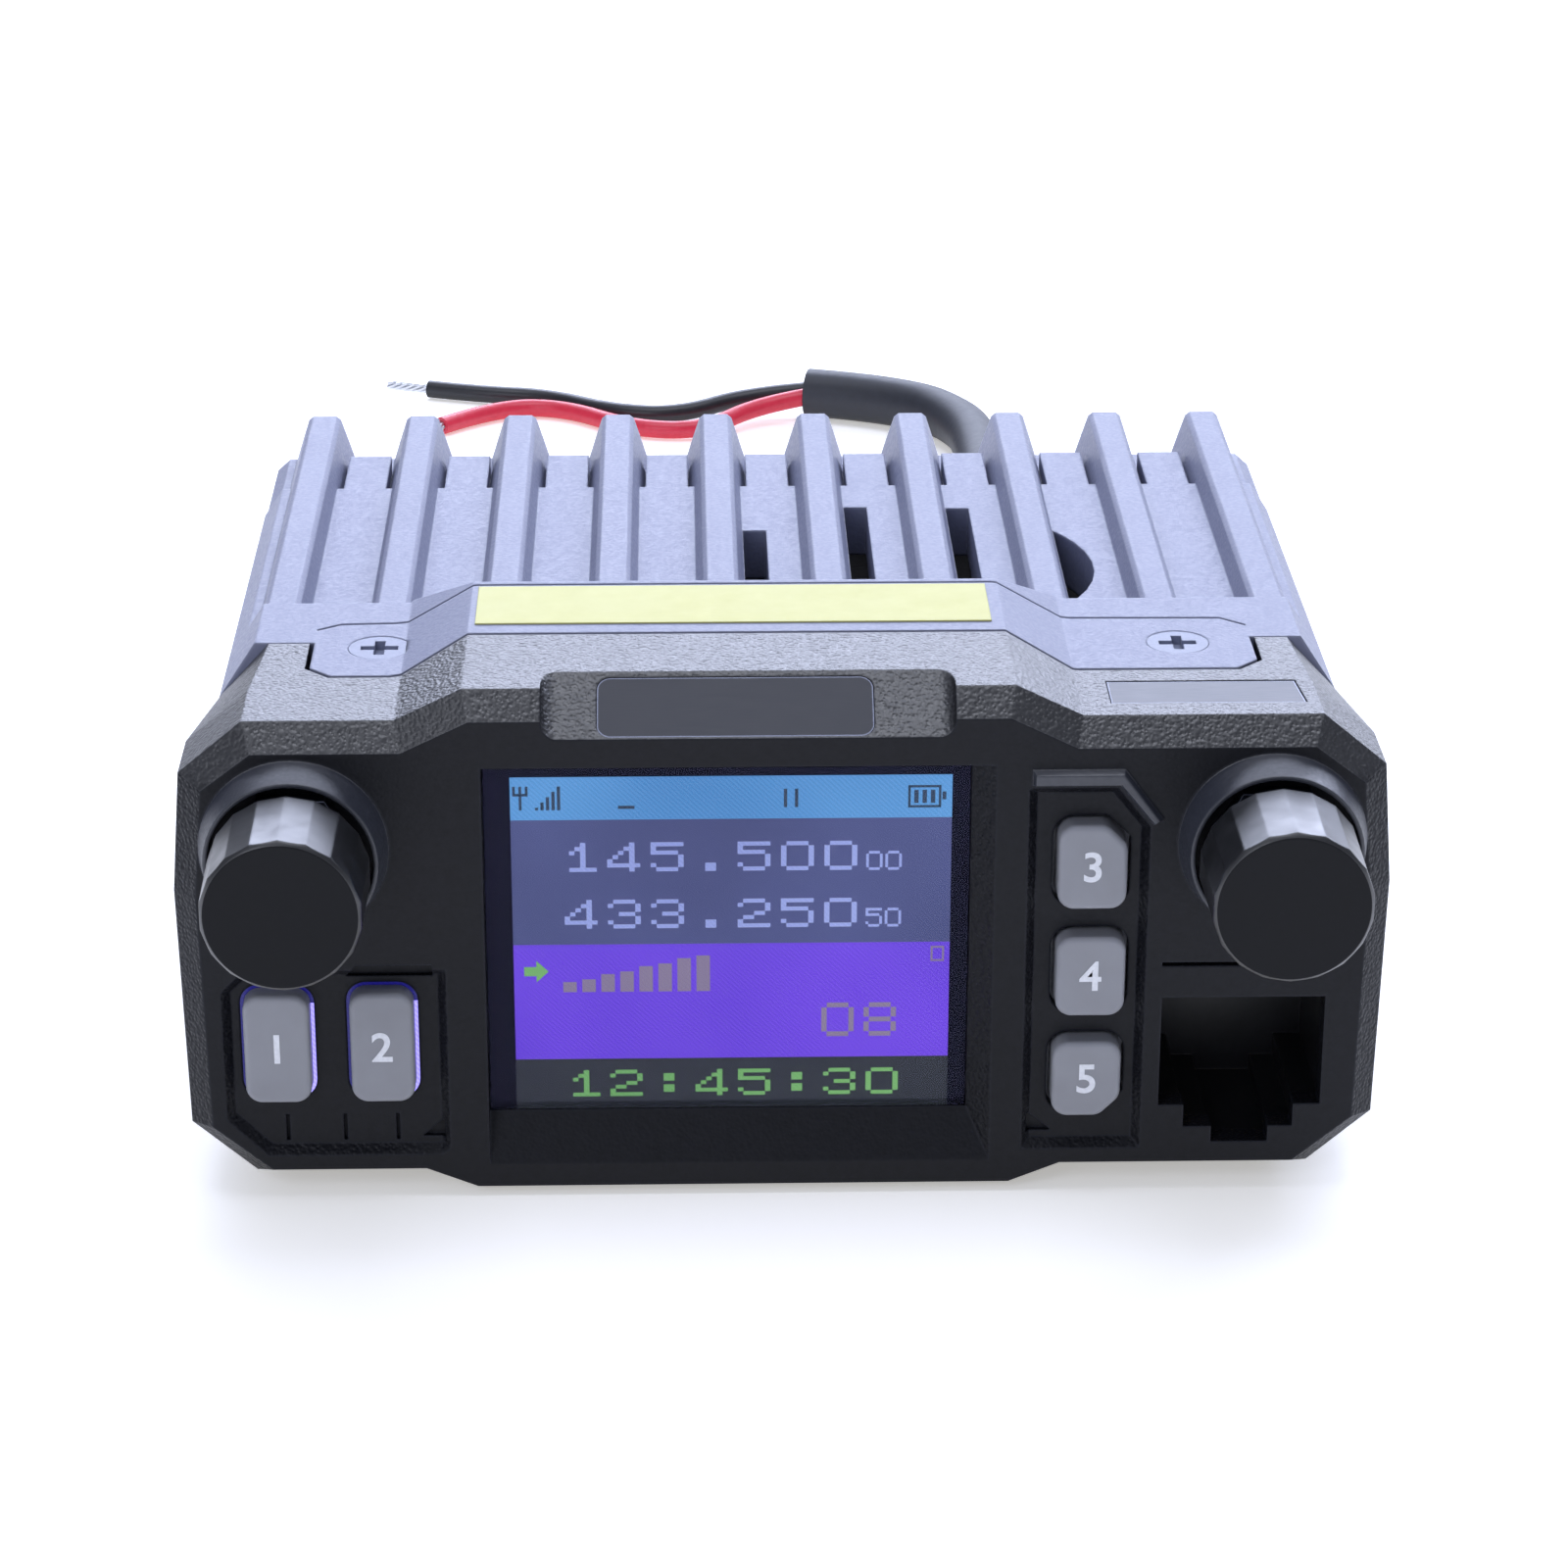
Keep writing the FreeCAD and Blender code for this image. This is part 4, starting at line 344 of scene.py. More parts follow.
# %% Front panel colour
shade = add_node(tree, "ShaderNodeMix", {
    0: mist.outputs[0], 6: linear("0d0e12"), 7: linear("15161c"),
}, data_type="RGBA")
edge_brightening = add_node(tree, "ShaderNodeMath", {0: edge_mask(tree, 0.3), 1: 0.25}, operation="MULTIPLY")
# What stands proud gets the lighter black 2c2f39, a painted highlight for the light on the collars' glossy
# tops.
painted_collar_highlight = add_node(tree, "ShaderNodeMix", {
    0: behind_face.outputs[0], 6: linear("2c2f39"), 7: shade.outputs[2],
}, data_type="RGBA")
edge_brightened = add_node(tree, "ShaderNodeMix", {
    0: edge_brightening.outputs[0], 6: painted_collar_highlight.outputs[2], 7: linear("343845"),
}, data_type="RGBA")
satin = add_node(tree, "ShaderNodeMapRange", {
    "Value": pits.outputs["Distance"], "From Min": 0.0, "From Max": 0.8, "To Min": 0.34, "To Max": 0.52,
})
tree.links.new(edge_brightened.outputs[2], shader.inputs["Base Color"])
tree.links.new(satin.outputs[0], shader.inputs["Roughness"])
print("nodes in the panel's tree so far:", len(tree.nodes))

# %% Front panel shine
shine = add_node(tree, "ShaderNodeMapRange", {
    "Value": facing.outputs["Z"], "From Min": 0.1, "From Max": 0.65, "To Min": 0.18, "To Max": 1.0,
})
WINDOW_TOP, DECK_EDGE = 35.0 * MM, 37.5 * MM
above_window = add_node(tree, "ShaderNodeMapRange", {
    "Value": spot.outputs["Z"], "From Min": WINDOW_TOP, "From Max": DECK_EDGE, "To Min": 0.2, "To Max": 1.0,
})
gleam = add_node(tree, "ShaderNodeMath", {0: shine.outputs[0], 1: above_window.outputs[0]},
                 operation="MULTIPLY")
collar_gloss = add_node(tree, "ShaderNodeMapRange", {
    "Value": spot.outputs["Y"], "From Min": PROUD_FROM, "From Max": PROUD_TO, "To Min": 0.7, "To Max": 0.18,
})
gloss = add_node(tree, "ShaderNodeMath", {0: gleam.outputs[0], 1: collar_gloss.outputs[0]},
                 operation="MAXIMUM")
tree.links.new(gloss.outputs[0], shader.inputs["Specular IOR Level"])
shader.inputs["IOR"].default_value = 1.54
dress(panel_plastic, "front_panel")
print("gloss rises from", round(WINDOW_TOP / MM, 1), "to", round(DECK_EDGE / MM, 1), "mm above the table")

# %% [markdown]
# ## Plates, screws and other small black parts
# The two bare plates are thin anodised sheet with a brushed face. The screws are blackened steel. A dark
# oxide covers both metals: it is thick on the plates, so they are only partly metallic, and thin on the
# screws, so they nearly are. Where an edge is rubbed, the bare metal shows lighter.

# %% Plates and screws
plate_finish, tree, shader, coords = start_material("black anodised brushed plate")
stretch = add_node(tree, "ShaderNodeMapping", {"Vector": coords, "Scale": (0.06, 1.0, 1.0)})
brush = add_node(tree, "ShaderNodeTexNoise", {
    "Vector": stretch.outputs[0], "Scale": 1 / (0.12 * MM), "Detail": 2.0,
})
sheen = add_node(tree, "ShaderNodeMapRange", {"Value": brush.outputs[0], "To Min": 0.32, "To Max": 0.5})
tint = add_node(tree, "ShaderNodeMix", {0: brush.outputs[0], 6: linear("1d1f26"), 7: linear("292b34")},
                data_type="RGBA")
edge_brightened = add_node(tree, "ShaderNodeMix", {
    0: edge_mask(tree, 0.22), 6: tint.outputs[2], 7: linear("8a90a6"),
}, data_type="RGBA")
tree.links.new(sheen.outputs[0], shader.inputs["Roughness"])
tree.links.new(edge_brightened.outputs[2], shader.inputs["Base Color"])
shader.inputs["Metallic"].default_value = 0.35
dress(plate_finish, "brow_plate", "name_strip")

screw_finish, tree, shader, coords = start_material("blackened steel screws")
add_grain(tree, shader, coords, 0.25, 0.012, 0.12)
scuff = add_node(tree, "ShaderNodeMix", {
    0: edge_mask(tree, 0.15), 6: linear("3a3d4a"), 7: linear("9aa0b4"),
}, data_type="RGBA")
tree.links.new(scuff.outputs[2], shader.inputs["Base Color"])
shader.inputs["Metallic"].default_value = 0.85
shader.inputs["Roughness"].default_value = 0.36
dress(screw_finish, "cover_screws", "fan_screws", "volume_nut", "channel_nut")
print("plates and screws dressed")

# %% [markdown]
# ## Knobs and keys
# The knobs are polished black ABS with eighteen flat sides, so each side mirrors the room as one bright
# band. The keys are cast in a cloudy grey silicone that lets the lamps behind them glow through, so light
# has to travel inside them.

# %% Knob gloss and key rubber
knob_gloss, tree, shader, coords = start_material("polished black ABS knob")
dust = add_node(tree, "ShaderNodeTexNoise", {"Vector": coords, "Scale": 1 / (2.2 * MM), "Detail": 6.0})
haze = add_node(tree, "ShaderNodeMapRange", {
    "Value": dust.outputs[0], "From Min": 0.35, "From Max": 0.75, "To Min": 0.30, "To Max": 0.42,
})
deep = add_node(tree, "ShaderNodeMix", {0: dust.outputs[0], 6: linear("08090c"), 7: linear("0f1015")},
                data_type="RGBA")
soft = add_node(tree, "ShaderNodeBevel", {"Radius": 0.3 * MM}, samples=6)
ripple = add_node(tree, "ShaderNodeBump", {
    "Strength": 1.0, "Distance": 0.004 * MM, "Height": dust.outputs[0], "Normal": soft.outputs[0],
})
tree.links.new(haze.outputs[0], shader.inputs["Roughness"])
tree.links.new(deep.outputs[2], shader.inputs["Base Color"])
tree.links.new(ripple.outputs[0], shader.inputs["Normal"])
facing = add_node(tree, "ShaderNodeSeparateXYZ", {0: tree.nodes["Texture Coordinate"].outputs["Normal"]})
shine = add_node(tree, "ShaderNodeMapRange", {
    "Value": facing.outputs["Y"], "From Min": -0.97, "From Max": -0.70, "To Min": 0.14, "To Max": 0.85,
})
tree.links.new(shine.outputs[0], shader.inputs["Specular IOR Level"])
shader.inputs["IOR"].default_value = 1.54
dress(knob_gloss, "volume_knob", "channel_knob")

KEYS = [f"key_{number}" for number in range(1, 6)]
key_rubber, tree, shader, coords = start_material("cloudy grey silicone")
add_grain(tree, shader, coords, 0.18, 0.006, 0.35)
milk = add_node(tree, "ShaderNodeTexNoise", {"Vector": coords, "Scale": 1 / (3 * MM), "Detail": 2.0})
milky = add_node(tree, "ShaderNodeMix", {0: milk.outputs[0], 6: linear("85868c"), 7: linear("909299")},
                 data_type="RGBA")
tree.links.new(milky.outputs[2], shader.inputs["Base Color"])
shader.inputs["Roughness"].default_value = 0.42
shader.inputs["IOR"].default_value = 1.43
shader.inputs["Subsurface Weight"].default_value = 0.35
shader.inputs["Subsurface Radius"].default_value = (1.0, 1.0, 1.2)
shader.inputs["Subsurface Scale"].default_value = 0.8 * MM
dress(key_rubber, *KEYS)
print("keys:", KEYS)

# %% [markdown]
# ## Display window
# A clear polycarbonate window one millimetre thick covers the display. It is real glass-like geometry, so
# the shader refracts and mirrors on both faces, and a hint of haze keeps it from looking like nothing at
# all. An anti-reflection coating leaves only a faint violet mirror image: the specular tint is that
# coating.

# %% Clear window and the dark glass behind it
window_clear, tree, shader, coords = start_material("clear polycarbonate window")
smear = add_node(tree, "ShaderNodeTexNoise", {"Vector": coords, "Scale": 1 / (9 * MM), "Detail": 4.0})
wipe = add_node(tree, "ShaderNodeMapRange", {"Value": smear.outputs[0], "To Min": 0.0, "To Max": 0.01})
tree.links.new(wipe.outputs[0], shader.inputs["Roughness"])
shader.inputs["Base Color"].default_value = linear("eef2fa")
shader.inputs["Transmission Weight"].default_value = 1.0
shader.inputs["Specular Tint"].default_value = linear("4c486c")
shader.inputs["IOR"].default_value = 1.58
dress(window_clear, "display_window")

display_glass, tree, shader, coords = start_material("black display glass")
film = add_node(tree, "ShaderNodeTexNoise", {"Vector": coords, "Scale": 1 / (6 * MM), "Detail": 2.0})
ink = add_node(tree, "ShaderNodeMix", {0: film.outputs[0], 6: linear("08090b"), 7: linear("0d0e12")},
               data_type="RGBA")
tree.links.new(ink.outputs[2], shader.inputs["Base Color"])
shader.inputs["Specular IOR Level"].default_value = 0.06
shader.inputs["Roughness"].default_value = 0.25
dress(display_glass, "display_module")
window_low, window_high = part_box("display_window")
print("window thickness in mm:", round((window_high.y - window_low.y) / MM, 2))

# %% [markdown]
# ## Bright metals
# Sockets and nuts are turned brass with bright nickel, contacts have a flash of gold, and the guard over
# the fan is plated steel wire. Turning, drawing and handling leave fine marks a few tenths of a millimetre
# apart, so colour and roughness drift a little on that scale. The bump is very low, because a polished
# socket is smooth to the touch.

# %% Metal finishes
METALS = {
    "bright nickel on turned brass": ("c9c6bd", "dad7ce", 0.20, 0.34, 0.30,
                                      ["antenna_nut", "phone_jack_nut"]),
    "gold flash on bronze": ("d9b45c", "e6c578", 0.22, 0.34, 0.20, ["antenna_contact", "mic_contacts"]),
    "plated steel wire": ("b9bcc2", "cdd0d6", 0.22, 0.38, 0.50, ["fan_guard"]),
    "turned aluminium": ("c3c6cc", "d3d6dc", 0.28, 0.42, 0.20, ["volume_shaft", "channel_shaft"]),
    "bright zinc plate": ("b8bbb8", "cfd2cf", 0.26, 0.42, 0.25,
                          ["front_board_screws", "main_board_screws", "volume_potentiometer",
                           "channel_encoder"]),
    "pressed tinplate": ("b4b8bc", "c6cacd", 0.30, 0.48, 1.20, ["shield_can"]),
    "bright tin over copper": ("c9ccd2", "dcdee3", 0.24, 0.40, 0.30, []),
    "enamelled copper wire": ("a85a30", "c4713e", 0.24, 0.36, 0.40, ["filter_coils"]),
}
metals = {}
for name, (dark, light, smooth, rough, streak_mm, wearers) in METALS.items():
    metal, tree, shader, coords = start_material(name)
    streak = add_grain(tree, shader, coords, streak_mm, 0.0015, 0.12, detail=3.0)
    tone = add_node(tree, "ShaderNodeMix", {0: streak, 6: linear(dark), 7: linear(light)}, data_type="RGBA")
    polish = add_node(tree, "ShaderNodeMapRange", {"Value": streak, "To Min": smooth, "To Max": rough})
    tree.links.new(tone.outputs[2], shader.inputs["Base Color"])
    tree.links.new(polish.outputs[0], shader.inputs["Roughness"])
    shader.inputs["Metallic"].default_value = 1.0
    dress(metal, *wearers)
    metals[name] = metal
    print(name, "on", len(wearers), "pieces")

# %% [markdown]
# ## Moulded and pressed parts inside and at the rear
# What shows through the slots and at the rear is mostly dark plastic, rubber and circuit board. Each one
# keeps its own colour, grain and gloss: glass-filled nylon is dull and speckled, rubber is soft and a
# little dusty, solder mask is glossy over the faint weave of glass cloth. The label's film is varnished
# matt, so it hardly mirrors at all.

# %% Plastics, rubber, boards and the rest
MOULDINGS = {
    "glass-filled nylon fan": ("15161a", "202228", 0.45, 0.62, 0.50, 0.03, ["fan_frame", "fan_rotor"]),
    "grey lacquered screw": ("7c8299", "888ea6", 0.42, 0.56, 0.30, 0.006, ["top_screws"]),
    "black nylon socket": ("0c0d10", "15161b", 0.28, 0.42, 0.60, 0.008, ["mic_socket", "phone_jack"]),
    "black key switch": ("17181b", "212226", 0.40, 0.55, 0.50, 0.008, ["key_switches"]),
    "moulded grommet rubber": ("131417", "1f2126", 0.60, 0.80, 0.70, 0.03, ["lead_grommet"]),
    "green solder mask": ("0f4a2a", "17603a", 0.22, 0.38, 0.90, 0.010, ["front_board", "main_board"]),
    "black epoxy package": ("1b1c1f", "26282c", 0.45, 0.60, 0.30, 0.010, ["power_transistors"]),
    "blue shrink sleeve": ("151a34", "1d2446", 0.20, 0.32, 2.00, 0.005, ["supply_capacitors"]),
    "cream nylon connector": ("d8cfb2", "e5ddc4", 0.38, 0.52, 0.80, 0.008, ["board_connectors"]),
    "grey flat cable": ("9b9da1", "adafb4", 0.40, 0.55, 1.27, 0.020, ["ribbon_cable"]),
    "sintered ferrite": ("26272a", "34353a", 0.50, 0.70, 0.40, 0.020, ["speaker_magnet"]),
    "pressed paper cone": ("0e0e10", "17171a", 0.75, 0.92, 0.60, 0.040, ["speaker_cone", "speaker_frame"]),
    "white PTFE": ("e4e4de", "f0f0ea", 0.32, 0.48, 1.50, 0.006, ["antenna_insulator"]),
    "printed yellow film": ("c6c47a", "cecc86", 0.30, 0.44, 2.50, 0.004, ["blank_label"]),
    "black wire insulation": ("101114", "1a1b20", 0.35, 0.50, 1.00, 0.008, ["inner_leads"]),
}
SPECULAR = {"printed yellow film": 0.08}
for name, (dark, light, smooth, rough, grain_mm, height_mm, wearers) in MOULDINGS.items():
    moulding, tree, shader, coords = start_material(name)
    grain = add_grain(tree, shader, coords, grain_mm, height_mm, 0.15, detail=3.0)
    cloud = add_node(tree, "ShaderNodeTexNoise", {"Vector": coords, "Scale": 1 / (7 * MM), "Detail": 3.0})
    blend = add_node(tree, "ShaderNodeMath", {0: grain, 1: cloud.outputs[0]}, operation="MULTIPLY")
    share = add_node(tree, "ShaderNodeMapRange", {
        "Value": blend.outputs[0], "From Min": 0.1, "From Max": 0.45,
    })
    tone = add_node(tree, "ShaderNodeMix", {
        0: share.outputs[0], 6: linear(dark), 7: linear(light),
    }, data_type="RGBA")
    gloss = add_node(tree, "ShaderNodeMapRange", {
        "Value": cloud.outputs[0], "To Min": smooth, "To Max": rough,
    })
    tree.links.new(tone.outputs[2], shader.inputs["Base Color"])
    tree.links.new(gloss.outputs[0], shader.inputs["Roughness"])
    shader.inputs["Specular IOR Level"].default_value = SPECULAR.get(name, 0.5)
    dress(moulding, *wearers)
    print(name, "on", wearers)

# %% [markdown]
# ## Lamps behind the keys
# Small blue-violet lamps sit behind the keys and light them through the rubber. A lamp is a shader that
# gives light of its own.

# %% Lamp resin
lamp_resin, tree, shader, coords = start_material("blue-violet lamp resin")
core = add_node(tree, "ShaderNodeTexNoise", {"Vector": coords, "Scale": 1 / (1.2 * MM), "Detail": 1.0})
glow = add_node(tree, "ShaderNodeMix", {0: core.outputs[0], 6: linear("4a3cf0"), 7: linear("7a6cff")},
                data_type="RGBA")
tree.links.new(glow.outputs[2], shader.inputs["Emission Color"])
tree.links.new(glow.outputs[2], shader.inputs["Base Color"])
shader.inputs["Emission Strength"].default_value = 6.0
shader.inputs["Roughness"].default_value = 0.3
dress(lamp_resin, "key_lamps")
print("lamps lit")

# %% [markdown]
# ## Screw thread of the antenna socket
# A real UHF socket carries a thread of 24 turns to the inch, 1.06 mm apart, for the plug's coupling ring.
# The CAD model has a plain barrel of the thread's outer size. Here the barrel is turned down to the
# thread's core and a ridge is wound on it by Geometry Nodes, whose named sizes say what a thread is: a
# core, a pitch and a length.

# %% Node tree helpers
def wind_tree(name, sizes):
    """A Geometry Nodes tree with named size inputs and one geometry output; returns it and its end nodes."""
    tree = bpy.data.node_groups.new(name, "GeometryNodeTree")
    tree.interface.new_socket("Geometry", in_out="INPUT", socket_type="NodeSocketGeometry")
    for title, kind, value in sizes:
        socket = tree.interface.new_socket(title, in_out="INPUT", socket_type=kind)
        socket.default_value = value
    tree.interface.new_socket("Geometry", in_out="OUTPUT", socket_type="NodeSocketGeometry")
    return tree, tree.nodes.new("NodeGroupInput"), tree.nodes.new("NodeGroupOutput")


def grow(tree, settings, name):
    """Runs a tree on an empty mesh, with its inputs set by identifier, and returns the mesh it makes."""
    seed = bpy.data.objects.new(name + "_seed", bpy.data.meshes.new(name + "_seed"))
    modifier = seed.modifiers.new(name, "NODES")
    modifier.node_group = tree
    marks = {item.name: item.identifier for item in tree.interface.items_tree if item.in_out == "INPUT"}
    for title, value in settings.items():
        modifier[marks[title]] = value
    scene.collection.objects.link(seed)
    bpy.context.view_layer.update()
    made = bpy.data.meshes.new_from_object(seed.evaluated_get(bpy.context.evaluated_depsgraph_get()))
    seed.modifiers.clear()
    bpy.data.objects.remove(seed)
    return made


def finish_tree(tree, end, geometry, material):
    """Ends a tree with real geometry and its material."""
    real = add_node(tree, "GeometryNodeRealizeInstances", {"Geometry": geometry})
    skin = add_node(tree, "GeometryNodeSetMaterial", {"Geometry": real.outputs[0], "Material": material})
    tree.links.new(skin.outputs[0], end.inputs[0])


print("geometry helpers ready")

# %% Wind the thread
socket_metal = metals["bright nickel on turned brass"]
tree, sizes, end = wind_tree("screw thread", [
    ("Core radius", "NodeSocketFloat", 0.01), ("Ridge radius", "NodeSocketFloat", 0.001),
    ("Length", "NodeSocketFloat", 0.01), ("Turns", "NodeSocketFloat", 10.0),
])
helix = add_node(tree, "GeometryNodeCurveSpiral", {
    "Resolution": 40, "Rotations": sizes.outputs["Turns"], "Start Radius": sizes.outputs["Core radius"],
    "End Radius": sizes.outputs["Core radius"], "Height": sizes.outputs["Length"],
})
ridge = add_node(tree, "GeometryNodeCurvePrimitiveCircle", {
    "Resolution": 8, "Radius": sizes.outputs["Ridge radius"],
})
wound = add_node(tree, "GeometryNodeCurveToMesh", {
    "Curve": helix.outputs[0], "Profile Curve": ridge.outputs[0], "Fill Caps": True,
})
finish_tree(tree, end, wound.outputs[0], socket_metal)
print("thread tree inputs:", [item.name for item in tree.interface.items_tree if item.in_out == "INPUT"])

# %% Turn the barrel down
PITCH_MM = 25.4 / 24
BARREL_MM = 7.94
RIDGE_MM = 0.42
SUNK_SHARE = 0.9
socket_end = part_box("antenna_socket")[1].y
insulator_low, insulator_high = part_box("antenna_insulator")
axis_x = (insulator_low.x + insulator_high.x) / 2
axis_z = (insulator_low.z + insulator_high.z) / 2
shell = bmesh.new()
shell.from_mesh(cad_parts["antenna_socket"].data)
bmesh.ops.remove_doubles(shell, verts=shell.verts, dist=1e-6)
barrel = [point for point in shell.verts
          if abs(math.hypot(point.co.x - axis_x, point.co.z - axis_z) - BARREL_MM * MM) < 0.02 * MM]
shell_start = min(point.co.y for point in barrel)
core = (BARREL_MM - SUNK_SHARE * 2 * RIDGE_MM + 0.08) / BARREL_MM
for point in barrel:
    point.co.x = axis_x + (point.co.x - axis_x) * core
    point.co.z = axis_z + (point.co.z - axis_z) * core
bmesh.ops.recalc_face_normals(shell, faces=shell.faces)
print("core radius in mm:", round(BARREL_MM * core, 2))

# %% Wind the ridge on the barrel
END_GAP = 1.1 * RIDGE_MM * MM
ridge_long = socket_end - shell_start - 2 * END_GAP
thread_mesh = grow(tree, {
    "Core radius": (BARREL_MM - RIDGE_MM) * MM, "Ridge radius": RIDGE_MM * MM, "Length": ridge_long,
    "Turns": ridge_long / (PITCH_MM * MM),
}, "thread")
thread_mesh.transform(Matrix.Translation((axis_x, shell_start + END_GAP, axis_z))
                      @ Matrix.Rotation(math.radians(-90), 4, "X"))
shell.from_mesh(thread_mesh)
socket_mesh = bpy.data.meshes.new("threaded_socket")
shell.to_mesh(socket_mesh)
shell.free()
socket_mesh.materials.append(socket_metal)
socket_piece = bpy.data.objects.new("threaded_socket", socket_mesh)
scene.collection.objects.link(socket_piece)
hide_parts("antenna_socket")
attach(socket_piece, "case")
print("thread turns:", round(ridge_long / (PITCH_MM * MM), 1), "on", len(socket_mesh.polygons), "faces")

# %% [markdown]
# ## Bare strands at the wires' ends
# The wires' tinned ends are seven thin strands twisted together, six of them round one in the middle. The
# tree makes one helix, sets it round the axis six times and adds the straight one.

# %% Twist the strands
tin = metals["bright tin over copper"]
tree, sizes, end = wind_tree("twisted strands", [
    ("Strands", "NodeSocketInt", 6), ("Ring radius", "NodeSocketFloat", 0.0004),
    ("Strand radius", "NodeSocketFloat", 0.0002), ("Length", "NodeSocketFloat", 0.005),
    ("Turns", "NodeSocketFloat", 1.0),
])
helix = add_node(tree, "GeometryNodeCurveSpiral", {
    "Resolution": 24, "Rotations": sizes.outputs["Turns"], "Start Radius": sizes.outputs["Ring radius"],
    "End Radius": sizes.outputs["Ring radius"], "Height": sizes.outputs["Length"],
})
seats = add_node(tree, "GeometryNodeMeshLine", {"Count": sizes.outputs["Strands"], "Offset": (0, 0, 0)})
index = add_node(tree, "GeometryNodeInputIndex")
step = add_node(tree, "ShaderNodeMath", {0: 2 * math.pi, 1: sizes.outputs["Strands"]}, operation="DIVIDE")
angle = add_node(tree, "ShaderNodeMath", {0: index.outputs[0], 1: step.outputs[0]}, operation="MULTIPLY")
turn = add_node(tree, "ShaderNodeCombineXYZ", {"Z": angle.outputs[0]})
placed = add_node(tree, "GeometryNodeInstanceOnPoints", {
    "Points": seats.outputs[0], "Instance": helix.outputs[0], "Rotation": turn.outputs[0],
})
top = add_node(tree, "ShaderNodeCombineXYZ", {"Z": sizes.outputs["Length"]})
middle_strand = add_node(tree, "GeometryNodeCurvePrimitiveLine", {"End": top.outputs[0]})
bundle = add_node(tree, "GeometryNodeJoinGeometry")
tree.links.new(placed.outputs[0], bundle.inputs[0])
tree.links.new(middle_strand.outputs[0], bundle.inputs[0])
strand = add_node(tree, "GeometryNodeCurvePrimitiveCircle", {
    "Resolution": 8, "Radius": sizes.outputs["Strand radius"],
})
drawn = add_node(tree, "GeometryNodeCurveToMesh", {
    "Curve": bundle.outputs[0], "Profile Curve": strand.outputs[0], "Fill Caps": True,
})
finish_tree(tree, end, drawn.outputs[0], tin)
print("strand tree inputs:", [item.name for item in tree.interface.items_tree if item.in_out == "INPUT"])

# %% Lay the strands beyond each wire's end
TIP_MM = 5 * WIRE_RADIUS
STRAND_MM = 0.225
RING_MM = 0.43
tips = bmesh.new()
for route in (red_route, black_route):
    before, last = Vector(route[-2]) * MM, Vector(route[-1]) * MM
    strands = grow(tree, {
        "Strands": 6, "Ring radius": RING_MM * MM, "Strand radius": STRAND_MM * MM, "Length": TIP_MM * MM,
        "Turns": 0.9,
    }, "strands")
    strands.transform(Matrix.Translation(last) @ (last - before).to_track_quat("Z", "Y").to_matrix().to_4x4())
    tips.from_mesh(strands)
tips_mesh = bpy.data.meshes.new("wire_ends")
tips.to_mesh(tips_mesh)
tips.free()
tips_mesh.materials.append(tin)
wire_ends = bpy.data.objects.new("wire_ends", tips_mesh)
scene.collection.objects.link(wire_ends)
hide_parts("wire_tips")
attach(wire_ends, "case")
print("faces in the wires' ends:", len(tips_mesh.polygons))

# %% [markdown]
# ## Leads
# The jacket is extruded rubber with a dull, slightly dusty skin. The wires are softer and glossier. Their
# patterns follow the object's coordinates and are fine enough that the bends don't matter.

# %% Lead skins
LEAD_SKINS = {
    jacket: ("extruded black jacket", "1c1e24", "2b2e38", 0.42, 0.60, 0.9),
    red_lead: ("red wire insulation", "c81f38", "d8354b", 0.30, 0.42, 0.6),
    black_lead: ("black wire skin", "15161a", "22242b", 0.32, 0.46, 0.6),
}
for lead, (name, dark, light, smooth, rough, grain_mm) in LEAD_SKINS.items():
    skin, tree, shader, coords = start_material(name)
    grain = add_grain(tree, shader, coords, grain_mm, 0.02, 0.1, detail=4.0)
    tone = add_node(tree, "ShaderNodeMix", {0: grain, 6: linear(dark), 7: linear(light)}, data_type="RGBA")
    gloss = add_node(tree, "ShaderNodeMapRange", {"Value": grain, "To Min": smooth, "To Max": rough})
    tree.links.new(tone.outputs[2], shader.inputs["Base Color"])
    tree.links.new(gloss.outputs[0], shader.inputs["Roughness"])
    lead.data.materials.append(skin)
for lead, node, slot in ((jacket, "lead_jacket", "jacket_black"), (red_lead, "red_wire", "wire_red"),
                         (black_lead, "black_wire", "wire_black")):
    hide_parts(node)
    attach(lead, "case")
print("leads dressed")

# %% [markdown]
# ## Flat drawings
# The display's picture and the glow round the keys are thin flat shapes. One helper turns lists of corners
# into a mesh that faces the front, laid at a given depth.

# %% Draw flat shapes facing the front
def front_mesh(name, shapes, depth, material):
    """One mesh of flat shapes, each a list of (x, z) corners in metres, anticlockwise from the front."""
    corners, faces = [], []
    for shape in shapes:
        faces.append([len(corners) + step for step in range(len(shape))])
        corners.extend((x, depth, z) for x, z in shape)
    mesh = bpy.data.meshes.new(name)
    mesh.from_pydata(corners, [], faces)
    mesh.materials.append(material)
    piece = bpy.data.objects.new(name, mesh)
    scene.collection.objects.link(piece)
    return piece


def tile(left, top, wide, tall):
    """A rectangle given from its top left corner downwards."""
    return [(left, top - tall), (left + wide, top - tall), (left + wide, top), (left, top)]


print("flat shapes face -Y")

# %% [markdown]
# ## The display's picture
# A small colour display is a grid of 160 by 128 dots, 0.22 mm apart. Its picture is built on that grid: a
# blue status band, a slate field with two rows of digits, a violet menu field and a dark foot with a clock.
# Digits are drawn as 8 by 7 dot patterns, each row one byte, so they look like a display's own figures. All
# of it is plain numbers and marks. The colours are emitted, because a lit display doesn't depend on the
# room.

